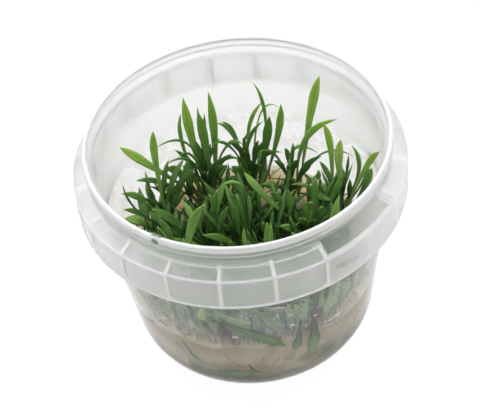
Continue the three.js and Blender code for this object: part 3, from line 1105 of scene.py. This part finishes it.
def makeCrowns(green, tissue):
    random.seed(5)
    for number, (at, leaves) in enumerate(plantlets, 1):
        shape = bmesh.new()
        addCrown(shape, number, at)
        mesh = finishedMesh(shape, f"crown of plantlet {number}")
        piece = addObject(f"plantlet-{number}-rootstock", mesh, tissue, green)
        uvPlaces = mesh.uv_layers.active.data
        for face in mesh.polygons:
            inLeaf = any(uvPlaces[k].uv.length > 0 for k in face.loop_indices)
            face.material_index = 1 if inLeaf else 0
        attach(piece, "root")
        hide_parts(f"plantlet-{number}-crown")


makeCrowns(green, crownTissue(crownShape))
print("crowns made")


# the many small leaves between the grown ones

tuftShape = {
    "bedRadius": mm(35),
    "bedSteps": 48,
    "density": 400000,               # more than the spacing lets through
    "leaves": {
        "Spacing": mm(4.7),
        "Leaves per plant": 9,
        "Least lean": math.radians(-5),
        "Most lean": math.radians(68),
        "Turn spread": math.radians(120),   # how far the leaves turn from straight outwards
        "Smallest": 0.3,
        "Largest": 1.0,
        "Back start": mm(4),         # from here to the back of the bed the leaves get shorter
        "Back end": mm(35),
        "Back size": 0.55,
        "Wall radius": mm(34),       # how far the tips may reach at the wall's foot
        "Wall lean": 0.1446,         # and how much further they may reach with height
        "Seed": 3,
    },
    "longest": mm(26),
    "patternLean": 0.3,              # how far the patterns lean by themselves
    "smallPower": 1.5,               # the higher, the more of them are small
    "toneRangeWithShade": (0.46, -0.2),       # how much brighter the largest are, and the tone of the smallest, painted shade for the small ones low in the tuft
    "toneSpread": (-0.1, 0.12),
    "bareSpots": [                   # places with few leaves, where the gel shows, and their radius
        (mm(19), mm(30), mm(9.5)),
        (mm(20), mm(20), mm(8.5)),
        (mm(20.5), mm(12), mm(5.5)),
        (mm(-22.4), mm(26.5), mm(5)),
        (mm(-22.4), mm(19.5), mm(4)),
        (mm(-22.1), mm(13), mm(3.5)),
    ],
    "patternRows": 7,
    "patternTwist": 0.5,
    # leaf patterns, standing on the origin: halfway point, tip, width
    "patterns": [
        ((1.2, 0, 13), (2.5, 0, 26), 3.0),
        ((2.5, 0.6, 14), (7, 1.5, 24), 3.3),
        ((0.8, -0.5, 12), (0.5, -1.5, 24), 2.4),
        ((2.5, 0, 12), (8, -1, 22), 3.0),
        ((1.8, 0.8, 15), (4.5, 3, 28), 2.2),
        ((-1.0, 0, 12), (1.5, 1, 25), 3.1),
        ((4, 1.2, 14), (12, 2, 19), 1.6),
    ],
}


def keptLeaves(group, setup, inputs, start, size, lean, turn):
    # 1 for a leaf whose tip stays inside the wall and whose foot is off the bare spots
    length = calculated(group, "MULTIPLY", size, setup["longest"])
    fullLean = calculated(group, "ADD", lean, setup["patternLean"])
    out = calculated(group, "MULTIPLY", length, calculated(group, "SINE", fullLean))
    tipX = calculated(group, "MULTIPLY_ADD", out, calculated(group, "COSINE", turn), start["X"])
    tipY = calculated(group, "MULTIPLY_ADD", out, calculated(group, "SINE", turn), start["Y"])
    tipZ = calculated(group, "MULTIPLY_ADD", length, calculated(group, "COSINE", lean), start["Z"])
    wall = calculated(group, "MULTIPLY_ADD", tipZ, inputs["Wall lean"], inputs["Wall radius"])
    kept = calculated(group, "LESS_THAN", distance(group, tipX, tipY), wall)
    for x, y, radius in setup["bareSpots"]:
        away = distance(group, start["X"], start["Y"], x, y)
        kept = calculated(group, "MULTIPLY", kept, calculated(group, "GREATER_THAN", away, radius))
    return kept


def tuftGroup(setup, values, patterns):
    group, inputs = newNodeGroup("small leaves on the bed", values)

    def varied(low, high, shift):
        return randomNumber(group, low, high, calculated(group, "ADD", inputs["Seed"], shift))

    plants = scattered(group, inputs, setup["density"])
    many = addNode(
        group, "GeometryNodeDuplicateElements", domain="POINT", in_Geometry=plants["Points"],
        in_Amount=inputs["Leaves per plant"])
    position = addNode(group, "GeometryNodeInputPosition").outputs[0]
    start = addNode(group, "ShaderNodeSeparateXYZ", in_Vector=position).outputs
    outwards = calculated(group, "ARCTAN2", start["Y"], start["X"])
    turn = calculated(group, "MULTIPLY_ADD", varied(-1.0, 1.0, 1), inputs["Turn spread"], outwards)
    lean = varied(inputs["Least lean"], inputs["Most lean"], 2)
    shorter = ranged(
        group, start["Y"], inputs["Back start"], inputs["Back end"], 1.0, inputs["Back size"])
    # most are small, and the small ones are painted darker as shade, since they sit low among the others
    span = calculated(group, "SUBTRACT", inputs["Largest"], inputs["Smallest"])
    fullness = calculated(group, "POWER", varied(0.0, 1.0, 3), setup["smallPower"])
    anySize = calculated(group, "MULTIPLY_ADD", fullness, span, inputs["Smallest"])
    size = calculated(group, "MULTIPLY", anySize, shorter)
    evenTone = calculated(group, "MULTIPLY_ADD", fullness, *setup["toneRangeWithShade"])
    tone = calculated(group, "ADD", evenTone, varied(*setup["toneSpread"], 4))
    patternSet = addNode(group, "GeometryNodeGeometryToInstance")
    for pattern in patterns:
        info = addNode(group, "GeometryNodeObjectInfo", in_Object=pattern)
        feed(group, patternSet.inputs[0], info.outputs["Geometry"])
    copies = addNode(
        group, "GeometryNodeInstanceOnPoints", in_Points=many.outputs[0],
        in_Selection=keptLeaves(group, setup, inputs, start, size, lean, turn),
        in_Instance=patternSet.outputs[0], in_Pick_Instance=True,
        in_Rotation=addNode(group, "ShaderNodeCombineXYZ", in_Y=lean, in_Z=turn).outputs[0],
        in_Scale=size)
    toned = addNode(
        group, "GeometryNodeStoreNamedAttribute", data_type="FLOAT", domain="INSTANCE",
        in_Name="tone", in_Geometry=copies.outputs[0], in_Value=tone)
    return finishGroup(group, inputs, toned)


def makeTuft(setup, green):
    patterns = []
    for k, (by, tip, width) in enumerate(setup["patterns"]):
        shape = bmesh.new()
        addLeaf(
            shape, Vector((0, 0, 0)), Vector(by), Vector(tip), width,
            twist=setup["patternTwist"] * (k % 3 - 1), rows=setup["patternRows"], section="plain",
            facing=Vector((0, 1, 0)))
        patterns.append(addObject(f"leaf-pattern-{k + 1}", finishedMesh(shape, "leaf pattern")))
    shape = bmesh.new()
    bmesh.ops.create_circle(
        shape, cap_ends=True, segments=setup["bedSteps"], radius=setup["bedRadius"],
        matrix=Matrix.Translation(spot(0, 0, gelLevel)))
    bed = addObject("bed", finishedMesh(shape, "bed"))
    values = {**setup["leaves"], "Material": green}
    mesh = bakedNodes(bed, tuftGroup(setup, values, patterns), values, "small leaves")
    dropObjects(bed, *patterns)
    piece = addObject("small-leaves", mesh)
    mesh.shade_smooth()
    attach(piece, "root")


makeTuft(tuftShape, green)
print("small leaves made")


# thin and short leaves that the photo shows one by one: plantlet, halfway point, tip, width, tone
thinLeaves = [
    (1, (-15, 24, 54), (-26, 20, 58), 0.9, 0.35),
    (1, (-15, 22, 49), (-24, 18, 52), 0.9, 0.30),
    (1, (-14, 21, 51), (-19, 16, 57), 0.9, 0.30),
    (1, (-11, 26, 54), (-11, 25, 69), 1.3, 0.15),
    (1, (-10, 25, 53), (-9, 24, 67), 1.1, 0.10),
    (1, (-4, 25, 50), (2, 22, 53), 1.2, 0.35),
    (1, (-6, 24, 45), (0, 20, 49), 1.5, 0.30),
    (2, (8, 31, 56), (15, 31, 59), 0.7, 0.60),
    (2, (-1, 28, 52), (-6, 26, 60), 1.0, 0.40),
    (2, (-2, 26, 49), (-8, 22, 55), 1.1, 0.30),
    (2, (2, 27, 48), (6, 24, 57), 1.0, 0.25),
    (2, (8, 26, 43), (14, 22, 48), 1.3, 0.30),
    (3, (12, 24, 45), (6, 20, 51), 1.2, 0.35),
    (3, (26, 20, 47), (36, 15, 49), 0.8, 0.35),
    (4, (38, 8, 45), (40, 6, 59), 1.0, 0.30),
    (4, (33, 12, 44), (34, 11, 54), 1.0, 0.25),
    (4, (32, 10, 41), (32, 9, 50), 1.3, 0.10),
    (5, (-34, 5, 48), (-36, 1, 63), 0.8, 0.20),
    (6, (-7, 7, 50), (2, 7, 48), 1.0, 0.50),
    (8, (19, 1, 39), (18, 0, 49), 1.6, 0.55),
    (10, (-1, -14, 43), (-1, -14, 53), 1.4, 0.60),
    (10, (5, -11, 41), (6, -10, 50), 1.6, 0.55),
    (10, (6, -13, 41), (7, -12, 52), 1.5, 0.55),
    (6, (-10, 6, 39), (-8, 8, 48), 2.4, 0.55),
    (9, (-18, -2, 41), (-12, -1, 52), 3.7, 0.58),
    (6, (-9, 4, 38), (-6, 0, 48), 2.2, 0.30),
    (5, (-19, 21, 41), (-16, 23, 50), 2.2, 0.45),
    (5, (-25, 18, 39), (-30, 14, 48), 1.7, 0.20),
    (5, (-28, 15, 37), (-32, 10, 48), 1.7, 0.20),
    (6, (-22, 4, 40), (-29, 4, 48), 3.4, 0.20),
    (8, (15, 6, 38), (14, 5, 48), 2.6, 0.50),
    (8, (19, 3, 40), (21, -2, 48), 3.2, 0.60),
    (3, (24, 17, 40), (24, 14, 46), 2.3, 0.55),
    (3, (22, 9, 40), (27, 2, 44), 2.2, 0.15),
    (8, (13, 8, 38), (8, 7, 46), 1.9, 0.25),
    (2, (0, 14, 39), (-5, 8, 46), 1.2, 0.20),
    (8, (18, -3, 40), (16, -6, 46), 2.4, 0.30),
    (8, (23, 0, 39), (24, -2, 46), 2.6, 0.40),
    (9, (-24, -4, 38), (-27, -3, 44), 3.0, 0.30),
    (1, (-9, 25, 40), (-5, 22, 49), 2.2, 0.20),
    (1, (-8, 24, 42), (-2, 20, 52), 1.8, 0.15),
    (2, (3, 27, 42), (2, 22, 51), 2.2, 0.25),
    (1, (-9, 23, 41), (-4, 16, 51), 2.4, 0.10),
    (2, (4, 26, 40), (4, 20, 48), 2.2, 0.30),
    (1, (-10, 24, 40), (-8, 20, 49), 1.8, 0.20),
    (7, (0, 7, 41), (-1, 14, 50), 2.4, 0.10),
    (2, (5, 25, 40), (7, 18, 47), 2.0, 0.20),
    (1, (-12, 24, 40), (-11, 18, 47), 2.2, 0.15),
    (3, (14, 24, 39), (11, 22, 45), 1.8, 0.25),
    (5, (-22, 18, 40), (-14, 20, 48), 2.0, 0.20),
    (3, (16, 23, 38), (15, 20, 44), 1.8, 0.20),
    (1, (-12, 27, 44), (-13, 26, 54), 1.8, 0.30),
    (1, (-11, 26, 43), (-8, 25, 53), 1.6, 0.20),
    (1, (-10, 27, 43), (-5, 27, 53), 1.5, 0.30),
    (2, (2, 28, 43), (-3, 24, 54), 1.8, 0.20),
    (2, (3, 29, 42), (2, 27, 52), 1.8, 0.25),
    (2, (5, 28, 42), (7, 26, 51), 1.8, 0.30),
    (2, (6, 28, 43), (11, 25, 52), 1.6, 0.30),
    (3, (16, 25, 41), (15, 24, 48), 1.8, 0.30),
    (3, (17, 25, 41), (18, 26, 48), 1.4, 0.30),
    (1, (-15, 26, 43), (-20, 24, 53), 1.8, 0.35),
    (5, (-23, 18, 42), (-17, 22, 51), 2.2, 0.30),
    (5, (-25, 18, 43), (-22, 20, 53), 1.8, 0.30),
    (3, (17, 23, 39), (19, 20, 46), 2.0, 0.25),
    (4, (28, 13, 42), (25, 14, 50), 1.8, 0.30),
]

# leaves against the wall, seen through it: (turn, height) of one end, of halfway and of the tip, width, tone
wallLeaves = [
    ((-95.0, 47.0), (-86.0, 41.0), (-79.5, 28.5), 3.6, 0.30),
    ((-56.9, 46.0), (-58.3, 38.3), (-59.8, 33.1), 3.0, 0.80),
    ((-38.9, 37.7), (-44.6, 32.9), (-49.3, 31.4), 2.2, 0.75),
    ((-112.2, 49.5), (-113.5, 44.1), (-115.0, 40.0), 3.0, 0.85),
    ((-128.4, 47.3), (-129.4, 40.6), (-130.7, 35.2), 2.6, 0.60),
    ((-36.0, 46.0), (-38.0, 40.0), (-37.0, 34.0), 2.4, 0.60),
    ((-66.0, 50.0), (-70.0, 43.0), (-70.0, 36.0), 2.6, 0.45),
    ((-142.0, 27.0), (-147.0, 33.0), (-152.0, 42.0), 1.8, 0.50),
    ((-48.0, 46.0), (-47.5, 40.0), (-50.5, 30.9), 2.6, 0.70),
    ((-40.7, 49.0), (-40.3, 40.0), (-40.7, 31.6), 2.4, 0.75),
    ((-52.5, 49.0), (-53.9, 42.0), (-55.8, 35.5), 2.4, 0.65),
    ((-62.0, 49.0), (-62.5, 43.0), (-61.0, 36.0), 2.2, 0.55),
    ((-110.0, 48.0), (-103.0, 43.0), (-94.0, 40.0), 3.2, 0.45),
    ((-122.0, 48.0), (-120.0, 40.0), (-121.0, 33.0), 2.2, 0.45),
]

# leaves that lie flat against the wall, some of them between it and the gel
pressedLeaves = [
    ((-110.1, 42.6), (-94.3, 36.2), (-79.1, 25.4), 4.2, 0.26),
    ((-67.9, 38.7), (-66.4, 27.2), (-68.0, 17.0), 4.6, 0.22),
    ((-72.8, 37.0), (-73.9, 28.0), (-75.7, 22.5), 3.2, 0.18),
    ((-149.8, 24.9), (-146.6, 25.7), (-141.8, 28.0), 1.0, 0.20),
    ((-137.2, 31.6), (-135.0, 31.3), (-133.1, 30.1), 1.0, 0.20),
    ((-126.5, 25.6), (-122.6, 18.6), (-116.7, 14.6), 2.4, 0.30),
    ((-119.0, 13.5), (-107.6, 12.9), (-95.8, 13.9), 4.2, 0.24),
    ((-96.9, 18.3), (-95.4, 15.9), (-92.8, 13.3), 1.3, 0.05),
    ((-68.6, 11.0), (-60.0, 13.5), (-51.9, 14.8), 2.8, 0.20),
]

thinShape = {
    "rows": 20,
    "start": 1,                  # height of their foot on the gel
    "twists": (-0.6, 0.6),
    "waviness": (0, 0.1),
    "wallRows": 18,
    "wallInset": 1.2,
    "pressedInset": -0.25,
}

# leaves that stand all along the front wall, behind those
frontRow = {
    "count": 42,
    "rows": 14,
    "turns": (-168, -12),
    "uneven": 0.4,           # share of the spacing
    "inset": 2.6,
    "heights": (8, 25),
    "sideways": 14,          # degrees round the wall from foot to tip
    "widths": (2.2, 3.6),
    "tones": (0.15, 0.7),
    "twists": (-0.4, 0.4),
}


def addFrontRow(shape, row):
    low, high = row["turns"]
    for k in range(row["count"]):
        shift = random.uniform(-row["uneven"], row["uneven"])
        turn = low + (high - low) * (k + shift) / (row["count"] - 1)
        tipTurn = turn + random.uniform(-1, 1) * row["sideways"]
        tipHeight = gelLevel + random.uniform(*row["heights"])
        root = wallPlace(turn, gelLevel, row["inset"])
        tip = wallPlace(tipTurn, tipHeight, row["inset"])
        by = wallPlace((turn * 2 + tipTurn) / 3, (root.z + tip.z) / 2, row["inset"])
        addLeaf(
            shape, root, by, tip, random.uniform(*row["widths"]), random.uniform(*row["tones"]),
            twist=random.uniform(*row["twists"]), rows=row["rows"],
            facing=polar(1, math.radians(turn + 90), 0))


def makeThinLeaves(setup, green):
    random.seed(7)
    shape = bmesh.new()
    for number, by, tip, width, tone in thinLeaves:
        at, _ = plantlets[number - 1]
        addLeaf(
            shape, Vector((*at, gelLevel + setup["start"])), Vector(by), Vector(tip), width, tone,
            twist=random.uniform(*setup["twists"]), wave=random.uniform(*setup["waviness"]),
            rows=setup["rows"])
    addFrontRow(shape, frontRow)
    for leaves, inset in ((wallLeaves, setup["wallInset"]), (pressedLeaves, setup["pressedInset"])):
        for *places, width, tone in leaves:
            root, by, tip = [wallPlace(turn, height, inset) for turn, height in places]
            outwards = Vector((by.x, by.y, 0))
            facing = (tip - root).cross(outwards).normalized()
            addLeaf(shape, root, by, tip, width, tone, rows=setup["wallRows"], facing=facing)
    piece = addObject("thin-leaves", finishedMesh(shape, "thin leaves"), green)
    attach(piece, "root")


makeThinLeaves(thinShape, green)
print("thin leaves made")


# fine roots in the gel, the ones that come to its face

rootShape = {
    "count": 34,
    "turns": (-176, 176),
    "uneven": 0.5,             # share of the spacing
    "inset": -0.26,
    "start": (19, 24),         # height on the wall where a root comes to the face
    "length": (5, 14),
    "sideways": 9,             # degrees round the wall from start to end
    "wander": 1.6,
    "bends": 5,
    "width": 0.42,
    "taper": 0.6,
    "steps": 10,
    "sides": 6,
    "colour": (0.36, 0.30, 0.18, 1),
}


def rootSkin(colour):
    return newMaterial("root skin", Base_Color=colour, Roughness=0.6, Specular_IOR_Level=0.1)[0]


def addRoot(shape, root, turn):
    # one root as a thin tapering tube along the wall
    start = random.uniform(*root["start"])
    length = random.uniform(*root["length"])
    endTurn = turn + random.uniform(-1, 1) * root["sideways"]
    phase = random.uniform(0, 6)
    rings = []
    for i in range(root["steps"] + 1):
        share = i / root["steps"]
        here = turn + (endTurn - turn) * share + root["wander"] * math.sin(phase + share * root["bends"])
        outwards = polar(1, math.radians(here), 0)
        sideways = polar(1, math.radians(here + 90), 0)
        half = root["width"] / 2 * (1 - root["taper"] * share)
        middle = wallPlace(here, start - length * share, root["inset"])
        rings.append(circle(middle, outwards, sideways, half, root["sides"]))
    addRings(shape, rings, capped=True)


def makeRoots(root):
    random.seed(13)
    shape = bmesh.new()
    low, high = root["turns"]
    for k in range(root["count"]):
        shift = random.uniform(-root["uneven"], root["uneven"])
        addRoot(shape, root, low + (high - low) * (k + shift) / (root["count"] - 1))
    mesh = finishedMesh(shape, "fine roots")
    mesh.shade_smooth()
    piece = addObject("fine-roots", mesh, rootSkin(root["colour"]))
    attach(piece, "root")


makeRoots(rootShape)
print("roots made")


# drops of condensation on the wall, and bubbles between the gel and the wall

dropShape = {
    "turns": (-172, -8),
    "heights": (28, 51),
    "wallSteps": 40,
    "inset": 0.02,
    "drops": {
        "Spacing": mm(0.9),
        "Smallest": 0.3,
        "Largest": 1.0,
        "Patch scale": 60.0,
        "Seed": 4,
    },
    "density": 2000000,          # more than the spacing lets through
    "patchRange": (0.4, 0.56),
    "radius": mm(0.48),
    "flatness": 0.45,
    "fineness": 1,
    "largeFineness": 3,
    # single larger drops: turn, height, radius
    "large": [
        (-34.8, 36.2, 1.0), (-36.5, 34.8, 0.8), (-33.8, 37.3, 0.7), (-84, 46.8, 0.9), (-82.2, 46.2, 1.1),
        (-80.2, 46.0, 0.8), (-101.0, 33.2, 1.1), (-124.4, 30.8, 0.9), (-136.1, 28.0, 0.8), (-62.9, 29.2, 0.9),
        (-60, 29.4, 0.8), (-57.4, 28.8, 1.0), (-54.5, 29.3, 0.7), (-52.6, 28.5, 0.9), (-50, 29, 0.6),
        (-48, 28.6, 0.8), (-76.4, 35.6, 0.8), (-77.2, 41.3, 0.8), (-80.6, 31.6, 0.7), (-70, 33, 0.7),
        (-66, 36, 0.8), (-90, 36, 0.6), (-143.1, 30.5, 0.9), (-137.7, 32.2, 0.8), (-133.8, 34.4, 0.8),
    ],
    # rings of bubbles in the gel: turn, height, radius
    "bubbles": [
        (-77.9, 19.7, 1.9), (-108.3, 25.8, 0.9), (-63, 22, 0.7), (-60.5, 20.5, 0.5), (-86, 24.5, 0.5),
    ],
    "bubbleInset": -0.3,
    "bubbleRim": 0.45,
    "bubbleSteps": (24, 6),
}


def dropWater():
    return newMaterial(
        "water drops", Base_Color=(0.97, 0.98, 0.98, 1), Transmission_Weight=0.85, Roughness=0.05,
        IOR=1.33)[0]


def bubbleRims():
    return newMaterial(
        "rims of the bubbles", Base_Color=(0.9, 0.9, 0.88, 1), Roughness=0.2, Transmission_Weight=0.4)[0]


def dropGroup(setup, values, drop):
    group, inputs = newNodeGroup("drops on the wall", values)
    patches = addNode(group, "ShaderNodeTexNoise", in_Detail=1, in_Scale=inputs["Patch scale"])
    share = ranged(group, patches.outputs["Fac"], *setup["patchRange"])
    spots = scattered(group, inputs, setup["density"], share)
    copies = addNode(
        group, "GeometryNodeInstanceOnPoints", in_Points=spots["Points"], in_Rotation=spots["Rotation"],
        in_Instance=addNode(group, "GeometryNodeObjectInfo", in_Object=drop).outputs["Geometry"],
        in_Scale=randomNumber(group, inputs["Smallest"], inputs["Largest"], inputs["Seed"]))
    return finishGroup(group, inputs, copies)


def wallStrip(setup):
    # the part of the cup's inner face that the drops sit on
    shape = bmesh.new()
    low, high = setup["turns"]
    steps = setup["wallSteps"]
    rows = []
    for height in setup["heights"]:
        rows.append([
            shape.verts.new(mm(wallPlace(low + (high - low) * k / steps, height, setup["inset"])))
            for k in range(steps + 1)
        ])
    for k in range(steps):
        shape.faces.new((rows[0][k], rows[1][k], rows[1][k + 1], rows[0][k + 1]))
    return finishedMesh(shape, "wall strip", turned=False)


def onWall(turn, height, inset):
    # moves a shape that lies flat on the origin to this place on the wall
    place = Matrix.Translation(mm(wallPlace(turn, height, inset)))
    return place @ Matrix.Rotation(math.radians(turn), 4, "Z") @ Matrix.Rotation(math.pi / 2, 4, "Y")


def addDrop(shape, matrix, radius, flatness, fineness):
    drop = bmesh.ops.create_icosphere(shape, subdivisions=fineness, radius=radius)
    squash = Matrix.Diagonal((1, 1, flatness, 1))
    bmesh.ops.transform(shape, matrix=matrix @ squash, verts=drop["verts"])


def addBubble(shape, matrix, radius, setup):
    # a thin round ring
    steps, sides = setup["bubbleSteps"]
    upward = Vector((0, 0, 1))
    rings = []
    for turn in turnsRound(steps):
        outwards = polar(1, turn, 0)
        rings.append(circle(outwards * radius, outwards, upward, setup["bubbleRim"] / 2, sides))
    known = len(shape.verts)
    addRings(shape, rings, looped=True)
    shape.verts.ensure_lookup_table()
    bmesh.ops.transform(shape, matrix=matrix, verts=shape.verts[known:])


def makeDrops(setup):
    water = dropWater()
    shape = bmesh.new()
    addDrop(shape, Matrix.Identity(4), setup["radius"], setup["flatness"], setup["fineness"])
    pattern = addObject("drop-pattern", finishedMesh(shape, "drop pattern"))
    strip = addObject("wall-strip", wallStrip(setup))
    values = {**setup["drops"], "Material": water}
    shape = bmesh.new()
    shape.from_mesh(bakedNodes(strip, dropGroup(setup, values, pattern), values, "drops on the wall"))
    for turn, height, radius in setup["large"]:
        place = onWall(turn, height, setup["inset"])
        addDrop(shape, place, mm(radius), setup["flatness"], setup["largeFineness"])
    dropObjects(pattern, strip)
    drops = addObject("condensation", finishedMesh(shape, "condensation"), water)
    shape = bmesh.new()
    for turn, height, radius in setup["bubbles"]:
        addBubble(shape, onWall(turn, height, setup["bubbleInset"]), radius, setup)
    bubbles = addObject("bubbles", finishedMesh(shape, "bubbles"), bubbleRims())
    for piece, slot in ((drops, "clear_cup"), (bubbles, "agar_gel")):
        piece.data.shade_smooth()
        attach(piece, "root")


makeDrops(dropShape)
print("drops made")


# the floor and the light

studio = {
    "floorSize": 6,
    "floorColour": (0.08, 0.08, 0.08, 1),
    "floorGlow": 0.96,           # the table gives off its own light, which keeps it white round the cup
    "brightSide": (0, 0.75, 0.66),
    "skyColours": [
        (0.05, (0.4, 0.4, 0.41, 1)),
        (0.75, (1.35, 1.35, 1.35, 1)),
    ],
    "skyStrength": 0.55,
    "aim": (0, 0, 0.05),
    "softboxes": [               # place, width, power
        ((-0.5, 0.45, 1.1), 0.7, 6.5),
        ((0.8, 0.2, 1.0), 0.8, 4.2),
        ((0, -0.6, 1.3), 0.8, 3.4),
    ],
}


def makeFloor(setup):
    half = setup["floorSize"] / 2
    corners = [(-half, -half, 0), (half, -half, 0), (half, half, 0), (-half, half, 0)]
    mesh = bpy.data.meshes.new("floor")
    mesh.from_pydata(corners, [], [(0, 1, 2, 3)])
    material = newMaterial(
        "white table", Base_Color=setup["floorColour"], Roughness=0.8, Specular_IOR_Level=0.1,
        Emission_Color=(1, 1, 1, 1), Emission_Strength=setup["floorGlow"])[0]
    addObject("floor", mesh, material)


def makeSky(setup):
    world = bpy.data.worlds.new("studio")
    world.use_nodes = True
    scene.world = world
    tree = world.node_tree
    sky = tree.nodes["Background"]
    facing = addNode(tree, "ShaderNodeVectorMath", operation="DOT_PRODUCT")
    feed(tree, facing.inputs[0], addNode(tree, "ShaderNodeTexCoord").outputs["Generated"])
    feed(tree, facing.inputs[1], setup["brightSide"])
    colour = colourRamp(tree, facing.outputs["Value"], setup["skyColours"])
    feedInputs(tree, sky, Color=colour, Strength=setup["skyStrength"])


def makeLight(setup):
    for k, (place, width, power) in enumerate(setup["softboxes"]):
        data = bpy.data.lights.new(f"softbox {k + 1}", "AREA")
        data.shape = "SQUARE"
        data.size = width
        data.energy = power
        lamp = bpy.data.objects.new(f"softbox {k + 1}", data)
        lamp.location = place
        toAim = Vector(setup["aim"]) - Vector(place)
        lamp.rotation_euler = toAim.to_track_quat("-Z", "Y").to_euler()
        scene.collection.objects.link(lamp)


makeFloor(studio)
makeSky(studio)
makeLight(studio)
scene.view_settings.view_transform = "Standard"
scene.cycles.max_bounces = 24
scene.cycles.transmission_bounces = 20
scene.cycles.transparent_max_bounces = 16
print("studio made")
